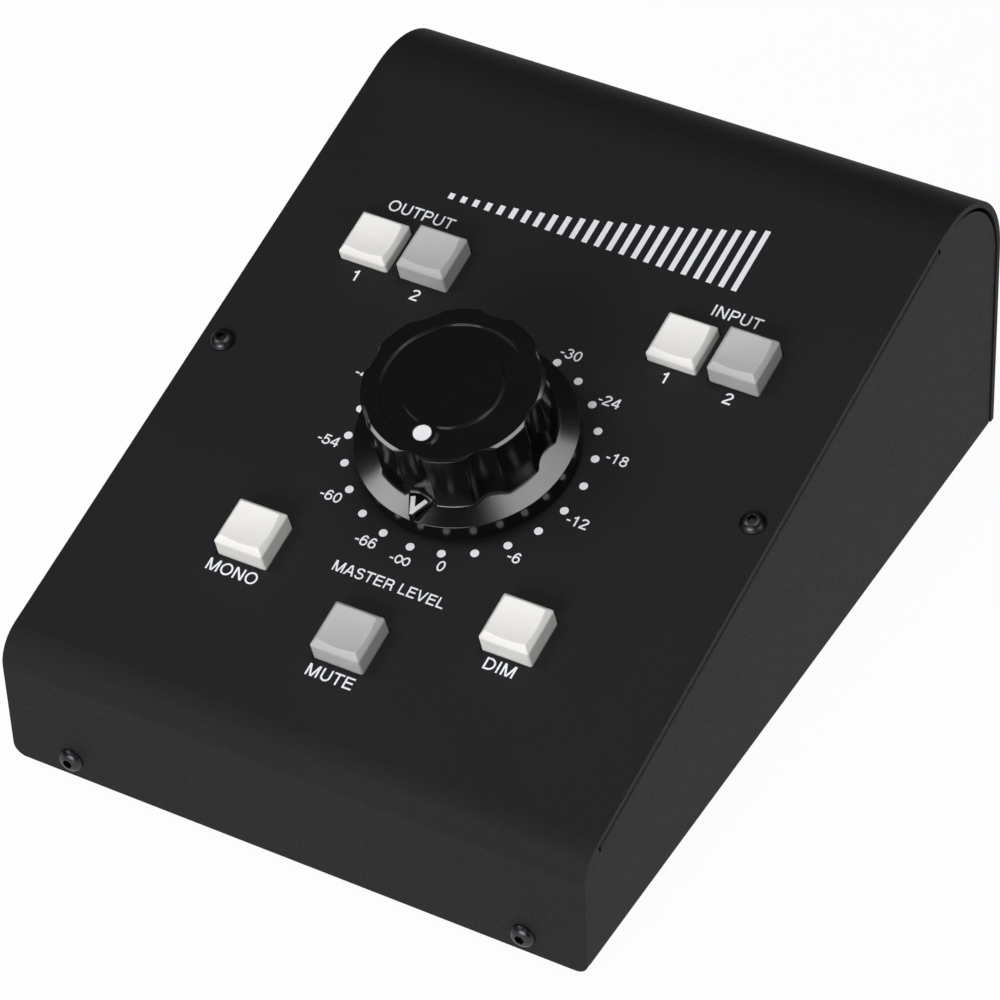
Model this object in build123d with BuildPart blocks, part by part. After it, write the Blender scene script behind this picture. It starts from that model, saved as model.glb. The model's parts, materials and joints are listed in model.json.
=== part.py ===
from build123d import *
import math
import os

os.makedirs("parts", exist_ok=True)

# Studio monitor controller: a desktop box with a sloped panel, one stepped level
# knob and seven push buttons. Millimetres. +X is right, +Y is back and +Z is up.
# The origin is under the middle of the box, on the surface that its feet stand on.

# ---------------------------------------------------------------- case
case_width = 140.0
case_depth = 192.0
front_height = 31.6  # front wall, from the case's floor to the sharp corner at the slope
panel_slope = 15.4  # degrees
sheet = 1.5
front_bend = 8.0  # outer radii of the cover's two bends
rear_bend = 25.0
wall_corner = 3.0  # rounding of the front wall's lower corners
rear_wall_lift = 1.6  # the rear wall ends this far above the case's floor
foot_height = 3.0
foot_radius = 6.0
foot_from_side = 14.0
foot_from_end = 16.0

side_inset = 0.3  # side plates stand inside the cover's raw edge
lining_gap = 0.2  # between the cover and the chassis walls inside it
plate_corner = 24.4  # rear corner of the side plates, slack inside the cover's bend
tray_bend = 2.0  # outer radius from the bottom plate to its walls
flange_bend = 2.2  # outer radius from a side plate to its flange
flange_width = 11.0
relief = 0.6  # width of the slots at the flange's ends
lip_height = 8.0  # upturned front and rear lips of the chassis

# ---------------------------------------------------------------- cover screws
screw_radius = 1.5
screw_play = 0.2
screw_length = 7.0
screw_head_radius = 2.85
screw_head_height = 1.65
screw_socket = 2.0  # across flats
socket_depth = 1.0
panel_screw_from_side = 5.25
panel_screw_v = 4.8
wall_screw_from_side = 15.0
wall_screw_height = 4.6  # above the case's floor
nut_shank_radius = 2.1
nut_head_radius = 2.6
nut_head_height = 2.2
thread_play = 0.05
press_play = 0.02

# ---------------------------------------------------------------- dial and knob
dial_from_middle = 17.2  # from the case's middle to the dial's centre, forwards and level
dial_steps = 24
step_angle = 360.0 / dial_steps
pointer_angle = -90.0  # from the panel's right, seen from above
skirt_radius = 24.3
skirt_lift = 1.0  # gap between the skirt and the panel
skirt_rim = 4.5
body_radius = 19.9
body_top_radius = 19.65  # the grip leans in to this under its bevel
knob_height = 23.0  # from the panel's outer face to the knob's top
cone_radius = 17.4
cone_rise = 2.4  # from the rim's top edge up to cone_radius
bevel_width = 0.8  # seen from above
bevel_height = 0.28
rim_rounding = 0.15
flute_count = 8
flute_radius = 6.7
flute_ring_radius = 25.2  # from the dial's axis to a flute's own axis
flute_rounding = 0.8
knob_wall = 1.9
hub_radius = 7.5
hub_lift = 4.7
groove_outer = 15.4  # shallow channel in the knob's top
groove_inner = 11.0
groove_depth = 0.45
dot_ring_radius = 13.2
dot_radius = 1.95
dot_pad = 3.3
dot_depth = 1.5
nose_height = 7.85  # flat top of the raised nose that carries the pointer
nose_setback = 0.1  # from the rim in to the nose's end
nose_end_width = 1.0
nose_flare = 27.0  # degrees between the nose's middle and each side
nose_draft = 2.0  # degrees
pointer_tip = 24.0
pointer_root = 20.1
pointer_width = 4.1  # over the V's two ends
pointer_flat = 0.55  # width of the V's blunt tip
pointer_stroke = 1.0
pointer_inlay = 0.4
pointer_thickness = 0.5
insert_radius = 5.0
insert_length = 11.0
grub_radius = 2.0
grub_length = 4.5
grub_height = 11.0
grub_access = 2.3

# ---------------------------------------------------------------- attenuator
shaft_radius = 3.0
shaft_top = 14.0
running_play = 0.05
bushing_radius = 4.5
bushing_top = 4.2
bushing_hole_play = 0.2
washer_radius = 7.5
washer_thickness = 0.8
nut_across = 12.0
nut_thickness = 2.0
drum_radius = 18.0
drum_bore = 12.4
drum_front = 2.5  # thickness of the drum's front wall
drum_length = 10.0
wheel_radius = 12.0
wheel_thickness = 2.5
wheel_gap = 1.0  # between the drum's front wall and the wheel
notch_radius = 1.2
wheel_hub_radius = 5.5
stop_ring_radius = 10.6
stop_pin_radius = 0.8
stop_lug_width = 1.0
stop_lug_length = 2.2
stop_lug_height = 1.5
ball_radius = 1.5
ball_gap = 0.3
ball_pocket_play = 0.1
ball_pocket_end = 17.0
ball_wire = 0.15
plate_thickness = 1.5
spacer_length = 6.0
spacer_radius = 2.2
tie_ring_radius = 15.2
tie_radius = 1.25
tie_head_radius = 2.3
tie_head_height = 1.8
wafer_radius = 17.2
wafer_thickness = 1.6
wafer_hole = 5.0
contact_ring_radius = 11.6
contact_radius = 0.8
contact_height = 0.5
chip_length = 1.6
chip_width = 0.8
chip_height = 0.5
rotor_radius = 8.0
rotor_thickness = 2.5
wiper_width = 2.4
wiper_thickness = 0.4
wiper_gap = 0.2
shaft_tail = 1.3  # shaft end behind the last wafer

# ---------------------------------------------------------------- buttons
# name, place right of the dial's centre, place up the slope, latched in
button_pitch = 15.0
pair_from_side = 32.0
pair_v = 40.0
lone_from_side = 38.0
lone_v = -38.0
mute_v = -53.0
pair_offset = case_width / 2 - pair_from_side
lone_offset = case_width / 2 - lone_from_side
buttons = [
    ("output_1", -pair_offset - button_pitch / 2, pair_v, True),
    ("output_2", -pair_offset + button_pitch / 2, pair_v, False),
    ("input_1", pair_offset - button_pitch / 2, pair_v, True),
    ("input_2", pair_offset + button_pitch / 2, pair_v, False),
    ("mono", -lone_offset, lone_v, False),
    ("mute", 0.0, mute_v, False),
    ("dim", lone_offset, lone_v, False),
]
latch_depth = 2.3
button_travel = 3.0
cap_side = 12.0
cap_shoulder_side = 11.8
cap_top_side = 9.2
cap_shoulder = 4.3  # height of the shoulder above the panel, button up
cap_bevel = 1.6
cap_skirt = 3.6  # depth of the cap's lower edge below the panel's outer face
cap_corner = 0.6
cap_wall = 1.2
cap_dish_radius = 26.0
cap_boss = 6.4
cutout_play = 0.2
stem_side = 4.0
stem_in_cap = 5.6
plunger_side = 6.2
plunger_height = 5.0
plunger_play = 0.1
stem_play = 0.2
housing_side = 11.0
housing_height = 11.0
housing_floor = 1.5
lid_thickness = 1.0
return_wire = 0.4
return_radius = 2.0
return_turns = 3.5
spring_seat = 0.05
pin_radius = 0.4
pin_length = 3.4
pin_pitch_u = 4.0
pin_pitch_v = 6.4

# ---------------------------------------------------------------- boards
board_depth = 20.0  # from the panel's outer face to the control board
board_thickness = 1.6
board_from_side = 13.0
board_low = -63.0
board_high = 51.0
board_opening = 20.5  # radius of the opening round the attenuator
board_hole_play = 0.2
standoff_across = 5.5
standoff_from_edge = 4.0
standoff_low = -57.0
standoff_high = 24.0
standoff_thread = 6.0
board_screw_head = 2.75
board_screw_height = 1.9
connector_v = 40.0
connector_length = 32.0
connector_width = 6.0
connector_height = 8.0
ribbon_width = 25.4
ribbon_thickness = 0.9
ribbon_bend = 9.0
ribbon_height = 29.0  # level of the ribbon's run to the jack board, above the feet
pad_resistor_length = 6.0
pad_resistor_radius = 1.2
pad_resistor_pitch = 5.0
pad_resistor_count = 8

# ---------------------------------------------------------------- rear jacks
jack_columns = 4
jack_rows = 2
jacks_from_side = 10.0  # the columns share the width that this leaves
jack_row_pitch = 22.0
jack_low_row = 15.0  # above the case's floor
jack_bore = 3.2  # for a plug of 6.35 mm
jack_sleeve_radius = 4.5
jack_hole_play = 0.2
jack_sleeve_reach = 3.4  # beyond the rear wall
jack_sleeve_root = 3.0  # into the jack's body
jack_body_width = 15.0
jack_body_height = 13.5
jack_body_length = 29.0
jack_blind = 2.5
jack_pin_radius = 0.6
jack_pin_length = 3.4
jack_pin_pitch_x = 6.0
jack_pin_pitch_z = 7.5
jack_nut_across = 12.0
jack_nut_thickness = 2.0
jack_board_from_side = 11.0
jack_board_low = 6.0  # above the case's floor
jack_board_high = 48.0

# ---------------------------------------------------------------- worked-out places
slope = math.radians(panel_slope)
floor_z = foot_height
dial_y = -dial_from_middle
dial_from_front = case_depth / 2 - dial_from_middle
dial_z = floor_z + front_height + dial_from_front * math.tan(slope)
panel = Plane(
    origin=(0, dial_y, dial_z),
    x_dir=(1, 0, 0),
    z_dir=(0, -math.sin(slope), math.cos(slope)),
)
dial_section = Plane(origin=panel.origin, x_dir=panel.x_dir, z_dir=-panel.y_dir)
dial_axis = Axis(panel.origin, panel.z_dir)
pointer_turn = math.radians(pointer_angle)
pointer_dir = panel.x_dir * math.cos(pointer_turn) + panel.y_dir * math.sin(pointer_turn)


def deck(height, u=0.0, v=0.0):
    """Plane parallel to the panel, height above its outer face, u right and v up the slope."""
    spot = panel.from_local_coords((u, v, height))
    return Plane(origin=spot, x_dir=panel.x_dir, z_dir=panel.z_dir)


def knob_deck(height):
    """Plane parallel to the panel whose own x runs from the dial's centre to the pointer."""
    spot = panel.from_local_coords((0, 0, height))
    return Plane(origin=spot, x_dir=pointer_dir, z_dir=panel.z_dir)


def front_spot(x, z):
    """Plane on the front wall's outer face, facing forwards."""
    return Plane(origin=(x, -case_depth / 2, z), x_dir=(1, 0, 0), z_dir=(0, -1, 0))


def rear_spot(x, z):
    """Plane on the rear wall's outer face, facing backwards."""
    return Plane(origin=(x, case_depth / 2, z), x_dir=(-1, 0, 0), z_dir=(0, 1, 0))


def slope_z(y, inset):
    """Height at y of the panel's outer face, moved inwards by inset."""
    return floor_z + front_height + (y + case_depth / 2) * math.tan(slope) - inset / math.cos(slope)


def side_outline(inset, bottom, rear_radius):
    """The case's side outline, moved inwards by inset and cut off level at bottom."""
    front = -case_depth / 2 + inset
    back = case_depth / 2 - inset
    corners = [(front, bottom), (front, slope_z(front, inset)), (back, slope_z(back, inset)), (back, bottom)]
    with BuildSketch(Plane.YZ) as outline:
        with BuildLine():
            FilletPolyline(*corners, radius=[0, front_bend - inset, rear_radius, 0], close=True)
        make_face()
    return outline.sketch


def ring(plane, outer, inner, length):
    """Tube of the active part that rises by length from a plane. An inner radius of 0 is solid."""
    with BuildSketch(plane) as section:
        Circle(outer)
        if inner > 0:
            Circle(inner, mode=Mode.SUBTRACT)
    extrude(section.sketch, amount=length)


def bore(planes, radius, depth):
    """Round holes of the active part, sunk by depth from each plane."""
    for plane in planes:
        with BuildSketch(plane) as section:
            Circle(radius)
        extrude(section.sketch, amount=-depth, mode=Mode.SUBTRACT)


def coil(plane, radius, wire, length, turns):
    """Round-wire helical spring of the active part that stands on a plane."""
    rise = length - 2 * wire
    start = plane.offset(wire).origin
    with BuildLine() as path:
        Helix(pitch=rise / turns, height=rise, radius=radius, center=start, direction=plane.z_dir)
    with BuildSketch(Plane(origin=path.line @ 0, z_dir=path.line % 0)) as section:
        Circle(wire)
    sweep(section.sketch, path=path.line)


def save(node, label):
    """Label a finished piece and write it as one STEP file."""
    node.part.label = label
    export_step(node.part, f"parts/{label}.step")


# The flanges lie under the flat of the panel, between the cover's bends.
flange_start = front_bend * math.tan(math.pi / 4 - slope / 2) - dial_from_front / math.cos(slope)
flat_end = (case_depth - dial_from_front) / math.cos(slope)
flange_end = flat_end - rear_bend * math.tan(math.pi / 4 + slope / 2)

board_width = case_width - 2 * board_from_side
standoff_u = board_width / 2 - standoff_from_edge
jack_pitch = (case_width - 2 * jacks_from_side) / jack_columns
jack_board_width = case_width - 2 * jack_board_from_side
panel_screw_u = case_width / 2 - panel_screw_from_side
wall_screw_x = case_width / 2 - wall_screw_from_side
wall_screw_z = floor_z + wall_screw_height
panel_screw_spots = [deck(0, side * panel_screw_u, panel_screw_v) for side in (-1, 1)]
front_screw_spots = [front_spot(side * wall_screw_x, wall_screw_z) for side in (-1, 1)]
rear_screw_spots = [rear_spot(side * wall_screw_x, wall_screw_z) for side in (-1, 1)]
cover_screw_spots = panel_screw_spots + front_screw_spots + rear_screw_spots
jack_spots = [
    rear_spot((column - (jack_columns - 1) / 2) * jack_pitch, floor_z + jack_low_row + row * jack_row_pitch)
    for row in range(jack_rows)
    for column in range(jack_columns)
]

# ================================================================ case
# Cover: one bent sheet that makes the front wall, the panel and the rear wall.
with BuildPart() as cover:
    extrude(side_outline(0, floor_z, rear_bend), amount=case_width / 2, both=True)
    inside = side_outline(sheet, floor_z - sheet, rear_bend - sheet)
    extrude(inside, amount=case_width, both=True, mode=Mode.SUBTRACT)
    with Locations((0, case_depth / 2, floor_z)):
        Box(2 * case_width, 4 * sheet, 2 * rear_wall_lift, mode=Mode.SUBTRACT)
    fillet(cover.edges().filter_by(Axis.Y).group_by(Axis.Z)[0], wall_corner)
    for name, u, v, latched in buttons:
        with BuildSketch(deck(0, u, v)):
            RectangleRounded(cap_side + 2 * cutout_play, cap_side + 2 * cutout_play, cap_corner)
        extrude(amount=-2 * sheet, mode=Mode.SUBTRACT)
    bore([deck(0)], bushing_radius + bushing_hole_play, 2 * sheet)
    bore(cover_screw_spots, screw_radius + screw_play, 2 * sheet)
    bore(jack_spots, jack_sleeve_radius + jack_hole_play, 2 * sheet)
save(cover, "cover")

# Chassis: bottom plate, two side plates with a flange each, front and rear lips.
side_x = case_width / 2 - side_inset
lining = sheet + lining_gap
with BuildPart() as chassis:
    extrude(side_outline(lining, floor_z, plate_corner), amount=side_x, both=True)
    with BuildSketch(Plane.XY.offset(floor_z + sheet)):
        Rectangle(2 * (side_x - sheet), case_depth - 2 * lining - 2 * sheet)
    extrude(amount=case_depth, mode=Mode.SUBTRACT)
    with BuildSketch(Plane.XY.offset(floor_z + lip_height)):
        Rectangle(2 * (side_x - sheet), case_depth)
    extrude(amount=case_depth, mode=Mode.SUBTRACT)
    fillet(chassis.edges().group_by(Axis.Z)[0], tray_bend)
    # slots that part the lips from the side plates
    with BuildSketch(Plane.XY.offset(floor_z)):
        with GridLocations(2 * side_x - 2 * sheet - relief, case_depth - 2 * lining, 2, 2):
            Rectangle(relief, 4 * tray_bend)
    extrude(amount=2 * lip_height, mode=Mode.SUBTRACT)
    flange_foot = -sheet - 1.2 * flange_bend
    with BuildSketch(deck(flange_foot)):
        with Locations((0, (flange_start + flange_end) / 2)):
            Rectangle(case_width, flange_end - flange_start)
    extrude(amount=-flange_foot, mode=Mode.SUBTRACT)
    flange_plane = Plane(
        origin=panel.from_local_coords((0, flange_end - relief, 0)),
        x_dir=panel.x_dir,
        z_dir=-panel.y_dir,
    )
    for side in (-1, 1):
        flange_corners = [
            (side * side_x, flange_foot),
            (side * side_x, -sheet),
            (side * (side_x - flange_width), -sheet),
            (side * (side_x - flange_width), -2 * sheet),
            (side * (side_x - sheet), -2 * sheet),
            (side * (side_x - sheet), flange_foot),
        ]
        flange_radii = [0, flange_bend, 0, 0, flange_bend - sheet, 0]
        with BuildSketch(flange_plane):
            with BuildLine():
                FilletPolyline(*flange_corners, radius=flange_radii, close=True)
            make_face()
        extrude(amount=flange_end - flange_start - 2 * relief)
    bore([spot.offset(-sheet / 2) for spot in panel_screw_spots], nut_shank_radius + press_play, 2 * sheet)
    bore(
        [spot.offset(-lining + lining_gap / 2) for spot in front_screw_spots + rear_screw_spots],
        nut_shank_radius + press_play,
        2 * sheet,
    )
save(chassis, "chassis")

# One button-head screw, standing on the sheet that it holds.
with BuildPart() as screw:
    with BuildSketch(Plane.XZ):
        with BuildLine():
            Polyline((0, screw_head_height), (0, 0), (screw_head_radius, 0), (screw_head_radius, 0.35))
            ThreePointArc(
                (screw_head_radius, 0.35),
                (0.78 * screw_head_radius, 0.73 * screw_head_height),
                (0.45 * screw_head_radius, screw_head_height),
            )
            Line((0.45 * screw_head_radius, screw_head_height), (0, screw_head_height))
        make_face()
    revolve(axis=Axis.Z)
    ring(Plane.XY, screw_radius, 0, -screw_length)
    with BuildSketch(Plane.XY.offset(screw_head_height)):
        RegularPolygon(screw_socket / 2, 6, major_radius=False)
    extrude(amount=-socket_depth, mode=Mode.SUBTRACT)

with BuildPart() as cover_screws:
    with Locations(*cover_screw_spots):
        add(screw.part)
save(cover_screws, "cover_screws")

# One clinch nut: its shank fills the chassis sheet and its head stands behind it.
with BuildPart() as clinch_nut:
    ring(Plane.XY, nut_shank_radius, screw_radius + thread_play, -sheet)
    ring(Plane.XY.offset(-sheet), nut_head_radius, screw_radius + thread_play, -nut_head_height)

with BuildPart() as clinch_nuts:
    with Locations(*[spot.offset(-sheet) for spot in panel_screw_spots]):
        add(clinch_nut.part)
    with Locations(*[spot.offset(-lining) for spot in front_screw_spots + rear_screw_spots]):
        add(clinch_nut.part)
save(clinch_nuts, "clinch_nuts")

with BuildPart() as rubber_feet:
    with BuildSketch(Plane.XY):
        with GridLocations(case_width - 2 * foot_from_side, case_depth - 2 * foot_from_end, 2, 2):
            Circle(foot_radius)
    extrude(amount=foot_height)
    chamfer(rubber_feet.faces().sort_by(Axis.Z)[:4].edges(), foot_height / 5)
save(rubber_feet, "rubber_feet")

# ================================================================ knob
rim_top = skirt_lift + skirt_rim
cone_top = rim_top + cone_rise
hub_cavity = cone_radius - knob_wall
cavity_top = knob_height - 2 * knob_wall

with BuildPart() as knob:
    # skirt: an upright rim under a shallow cone
    with BuildSketch(dial_section):
        with BuildLine():
            Polyline(
                (0, skirt_lift),
                (skirt_radius, skirt_lift),
                (skirt_radius, rim_top),
                (cone_radius, cone_top),
                (0, cone_top),
                close=True,
            )
        make_face()
    revolve(axis=dial_axis)
    fillet(knob.edges().filter_by(GeomType.CIRCLE).sort_by(SortBy.RADIUS)[-2:], rim_rounding)
    # grip: a drum with flutes, standing on the cone
    with BuildSketch(knob_deck(rim_top)) as grip:
        Circle(body_radius)
        with PolarLocations(flute_ring_radius, flute_count):
            Circle(flute_radius, mode=Mode.SUBTRACT)
        fillet(grip.vertices(), flute_rounding)
    extrude(amount=knob_height - rim_top)
    # draft of the grip's sides and bevel round its top edge
    with BuildSketch(dial_section):
        with BuildLine():
            Polyline(
                (body_radius, cone_top),
                (body_top_radius, knob_height - bevel_height),
                (body_top_radius - bevel_width, knob_height),
                (skirt_radius, knob_height),
                (skirt_radius, cone_top),
                close=True,
            )
        make_face()
    revolve(axis=dial_axis, mode=Mode.SUBTRACT)
    # channel in the top that runs round the dot's pad
    with BuildSketch(knob_deck(knob_height)):
        Circle(groove_outer)
        Circle(groove_inner, mode=Mode.SUBTRACT)
        with Locations((dot_ring_radius, 0)):
            Circle(dot_pad, mode=Mode.SUBTRACT)
    extrude(amount=-groove_depth, mode=Mode.SUBTRACT)
    with BuildSketch(knob_deck(knob_height)):
        with Locations((dot_ring_radius, 0)):
            Circle(dot_radius + press_play)
    extrude(amount=-dot_depth, mode=Mode.SUBTRACT)
    # hollow underside round the hub
    with BuildSketch(dial_section):
        with BuildLine():
            Polyline(
                (0, skirt_lift),
                (skirt_radius - knob_wall, skirt_lift),
                (skirt_radius - knob_wall, rim_top - knob_wall),
                (hub_cavity, rim_top),
                (hub_cavity, cavity_top),
                (hub_radius, cavity_top),
                (hub_radius, hub_lift),
                (0, hub_lift),
                close=True,
            )
        make_face()
    revolve(axis=dial_axis, mode=Mode.SUBTRACT)
    bore([deck(hub_lift + insert_length + press_play)], insert_radius + press_play, insert_length + hub_lift)
    # access hole for the grub screw, at the back of the grip
    grub_plane = Plane(
        origin=panel.from_local_coords((0, 0, grub_height)),
        x_dir=panel.x_dir,
        z_dir=-pointer_dir,
    )
    with BuildSketch(grub_plane):
        Circle(grub_access)
    extrude(amount=skirt_radius, mode=Mode.SUBTRACT)

# Nose: a wedge on the cone, from the grip's wall out to the rim, with a flat top for the pointer.
nose_end = skirt_radius - nose_setback
nose_root = hub_cavity + knob_wall / 2
nose_end_half = nose_end_width / 2
nose_root_half = nose_end_half + (nose_end - nose_root) * math.tan(math.radians(nose_flare))

# Pointer: a V of one stroke width, let into the nose's top and a little proud of it.
arm_turn = math.atan2((pointer_width - pointer_flat) / 2, pointer_tip - pointer_root)
arm_end = pointer_root - pointer_stroke * math.sin(arm_turn)
arm_end_half = pointer_width / 2 - pointer_stroke * math.cos(arm_turn)
notch = arm_end + arm_end_half / math.tan(arm_turn)
pointer_corners = [
    (pointer_root, pointer_width / 2),
    (pointer_tip, pointer_flat / 2),
    (pointer_tip, -pointer_flat / 2),
    (pointer_root, -pointer_width / 2),
    (arm_end, -arm_end_half),
    (notch, 0),
    (arm_end, arm_end_half),
]

with knob:
    with BuildSketch(knob_deck(nose_height)):
        with BuildLine():
            Polyline(
                (nose_root, nose_root_half),
                (nose_end, nose_end_half),
                (nose_end, -nose_end_half),
                (nose_root, -nose_root_half),
                close=True,
            )
        make_face()
    extrude(amount=rim_top - nose_height, taper=-nose_draft)
    with BuildSketch(knob_deck(nose_height)):
        with BuildLine():
            Polyline(*pointer_corners, close=True)
        make_face()
    extrude(amount=-pointer_inlay, mode=Mode.SUBTRACT)
save(knob, "knob")

with BuildPart() as knob_pointer:
    with BuildSketch(knob_deck(nose_height - pointer_inlay)):
        with BuildLine():
            Polyline(*pointer_corners, close=True)
        make_face()
    extrude(amount=pointer_thickness)
save(knob_pointer, "knob_pointer")

with BuildPart() as knob_dot:
    with BuildSketch(knob_deck(knob_height)):
        with Locations((dot_ring_radius, 0)):
            Circle(dot_radius)
    extrude(amount=-dot_depth)
save(knob_dot, "knob_dot")

with BuildPart() as knob_insert:
    ring(deck(hub_lift), insert_radius, shaft_radius + press_play, insert_length)
    with BuildSketch(grub_plane):
        Circle(grub_radius + press_play)
    extrude(amount=insert_radius * 2, mode=Mode.SUBTRACT)
save(knob_insert, "knob_insert")

with BuildPart() as knob_grub_screw:
    with BuildSketch(grub_plane.offset(shaft_radius)):
        Circle(grub_radius)
    extrude(amount=grub_length)
    with BuildSketch(grub_plane.offset(shaft_radius + grub_length)):
        RegularPolygon(screw_socket / 2, 6, major_radius=False)
    extrude(amount=-socket_depth, mode=Mode.SUBTRACT)
save(knob_grub_screw, "knob_grub_screw")

# ================================================================ stepped attenuator
drum_top = -sheet
drum_bottom = drum_top - drum_length
wheel_top = drum_top - drum_front - wheel_gap
wheel_bottom = wheel_top - wheel_thickness
plate_bottom = drum_bottom - plate_thickness
wafer_tops = [
    plate_bottom - spacer_length,
    plate_bottom - 2 * spacer_length - wafer_thickness,
]
stack_bottom = wafer_tops[-1] - wafer_thickness
ball_ring_radius = wheel_radius + ball_gap + ball_radius
tie_spots = [(tie_ring_radius * side, 0) for side in (-1, 1)]

with BuildPart() as attenuator_drum:
    ring(deck(drum_top), bushing_radius, 0, bushing_top - drum_top)
    ring(deck(drum_top), drum_radius, 0, -drum_length)
    bore([deck(drum_top - drum_front)], drum_bore, drum_length)
    bore([deck(bushing_top)], shaft_radius + running_play, bushing_top + drum_length)
    for side in (-1, 1):
        pocket = Plane(
            origin=panel.from_local_coords((0, 0, wheel_top - wheel_thickness / 2)),
            x_dir=panel.x_dir,
            z_dir=panel.y_dir * side,
        )
        with BuildSketch(pocket):
            Circle(ball_radius + ball_pocket_play)
        extrude(amount=ball_pocket_end, mode=Mode.SUBTRACT)
    with BuildSketch(deck(drum_bottom)):
        with Locations(*tie_spots):
            Circle(tie_radius + thread_play)
    extrude(amount=drum_length - drum_front, mode=Mode.SUBTRACT)
save(attenuator_drum, "attenuator_drum")

with BuildPart() as attenuator_washer:
    ring(deck(0), washer_radius, bushing_radius + running_play, washer_thickness)
save(attenuator_washer, "attenuator_washer")

with BuildPart() as attenuator_nut:
    with BuildSketch(deck(washer_thickness)):
        RegularPolygon(nut_across / 2, 6, major_radius=False)
        Circle(bushing_radius + running_play, mode=Mode.SUBTRACT)
    extrude(amount=nut_thickness)
save(attenuator_nut, "attenuator_nut")

with BuildPart() as attenuator_shaft:
    ring(deck(stack_bottom - shaft_tail), shaft_radius, 0, shaft_top - stack_bottom + shaft_tail)
save(attenuator_shaft, "attenuator_shaft")

# The wheel's lug meets the fixed stop pin at both ends of the knob's turn.
stop_turn = pointer_angle + step_angle / 2
with BuildPart() as detent_wheel:
    with BuildSketch(deck(wheel_bottom)):
        Circle(wheel_radius)
        with PolarLocations(wheel_radius, dial_steps):
            Circle(notch_radius, mode=Mode.SUBTRACT)
    extrude(amount=wheel_thickness)
    with BuildSketch(knob_deck(wheel_bottom)):
        Circle(wheel_hub_radius)
        with Locations((stop_ring_radius, 0)):
            Rectangle(stop_lug_length, stop_lug_width)
    extrude(amount=-stop_lug_height)
    bore([deck(wheel_top)], shaft_radius + press_play, wheel_thickness + 2 * stop_lug_height)
save(detent_wheel, "detent_wheel")

with BuildPart() as attenuator_plate:
    ring(deck(drum_bottom), drum_radius, shaft_radius + running_play, -plate_thickness)
    with BuildSketch(deck(drum_bottom)):
        with PolarLocations(stop_ring_radius, 1, start_angle=stop_turn):
            Circle(stop_pin_radius)
    extrude(amount=wheel_bottom - drum_bottom - ball_gap)
    with BuildSketch(deck(drum_bottom)):
        with Locations(*tie_spots):
            Circle(tie_radius + thread_play)
    extrude(amount=-plate_thickness, mode=Mode.SUBTRACT)
save(attenuator_plate, "attenuator_plate")

with BuildPart() as detent_balls:
    for side in (-1, 1):
        with Locations(deck(wheel_top - wheel_thickness / 2, 0, side * ball_ring_radius)):
            Sphere(ball_radius)
save(detent_balls, "detent_balls")

with BuildPart() as detent_springs:
    for side in (-1, 1):
        seat = Plane(
            origin=panel.from_local_coords(
                (0, side * (ball_ring_radius + ball_radius + spring_seat), wheel_top - wheel_thickness / 2)
            ),
            x_dir=panel.x_dir,
            z_dir=panel.y_dir * side,
        )
        coil(
            seat,
            ball_radius - 2 * ball_wire,
            ball_wire,
            ball_pocket_end - ball_ring_radius - ball_radius - 2 * spring_seat,
            2,
        )
save(detent_springs, "detent_springs")

with BuildPart() as attenuator_spacers:
    for top in (plate_bottom, wafer_tops[0] - wafer_thickness):
        with BuildSketch(deck(top)):
            with Locations(*tie_spots):
                Circle(spacer_radius)
                Circle(tie_radius + thread_play, mode=Mode.SUBTRACT)
        extrude(amount=-spacer_length)
save(attenuator_spacers, "attenuator_spacers")

with BuildPart() as attenuator_tie_screws:
    with BuildSketch(deck(stack_bottom)):
        with Locations(*tie_spots):
            Circle(tie_radius)
    extrude(amount=drum_bottom - stack_bottom + drum_length / 2)
    with BuildSketch(deck(stack_bottom)):
        with Locations(*tie_spots):
            Circle(tie_head_radius)
    extrude(amount=-tie_head_height)
save(attenuator_tie_screws, "attenuator_tie_screws")

with BuildPart() as wafers:
    for top in wafer_tops:
        with BuildSketch(deck(top)):
            Circle(wafer_radius)
            Circle(wafer_hole, mode=Mode.SUBTRACT)
            with Locations(*tie_spots):
                Circle(tie_radius + thread_play, mode=Mode.SUBTRACT)
        extrude(amount=-wafer_thickness)
save(wafers, "wafers")

with BuildPart() as wafer_contacts:
    for top in wafer_tops:
        with BuildSketch(deck(top)):
            with PolarLocations(contact_ring_radius, dial_steps):
                Circle(contact_radius)
        extrude(amount=contact_height)
save(wafer_contacts, "wafer_contacts")

with BuildPart() as step_resistors:
    for top in wafer_tops:
        with BuildSketch(deck(top - wafer_thickness)):
            with PolarLocations(contact_ring_radius, dial_steps - 1, step_angle / 2, 360 - 2 * step_angle):
                Rectangle(chip_width, chip_length)
        extrude(amount=-chip_height)
save(step_resistors, "step_resistors")

rotor_bottoms = [top + contact_height + wiper_gap + wiper_thickness for top in wafer_tops]
with BuildPart() as rotors:
    for bottom in rotor_bottoms:
        ring(deck(bottom), rotor_radius, shaft_radius + press_play, rotor_thickness)
save(rotors, "rotors")

with BuildPart() as wipers:
    for bottom in rotor_bottoms:
        with BuildSketch(knob_deck(bottom)):
            with Locations((contact_ring_radius / 2, 0)):
                Rectangle(contact_ring_radius + wiper_width, wiper_width)
            Circle(shaft_radius + running_play, mode=Mode.SUBTRACT)
            with Locations((-contact_ring_radius / 2, 0)):
                Rectangle(contact_ring_radius, 2 * wiper_width, mode=Mode.SUBTRACT)
        extrude(amount=-wiper_thickness)
save(wipers, "wipers")

# ================================================================ push buttons
housing_bottom = -board_depth
housing_top = housing_bottom + housing_height
well_floor = housing_bottom + housing_floor
plunger_bottom = housing_top - plunger_play / 2 - plunger_height
stem_top = -cap_skirt + stem_in_cap
cap_top = cap_shoulder + cap_bevel


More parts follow.
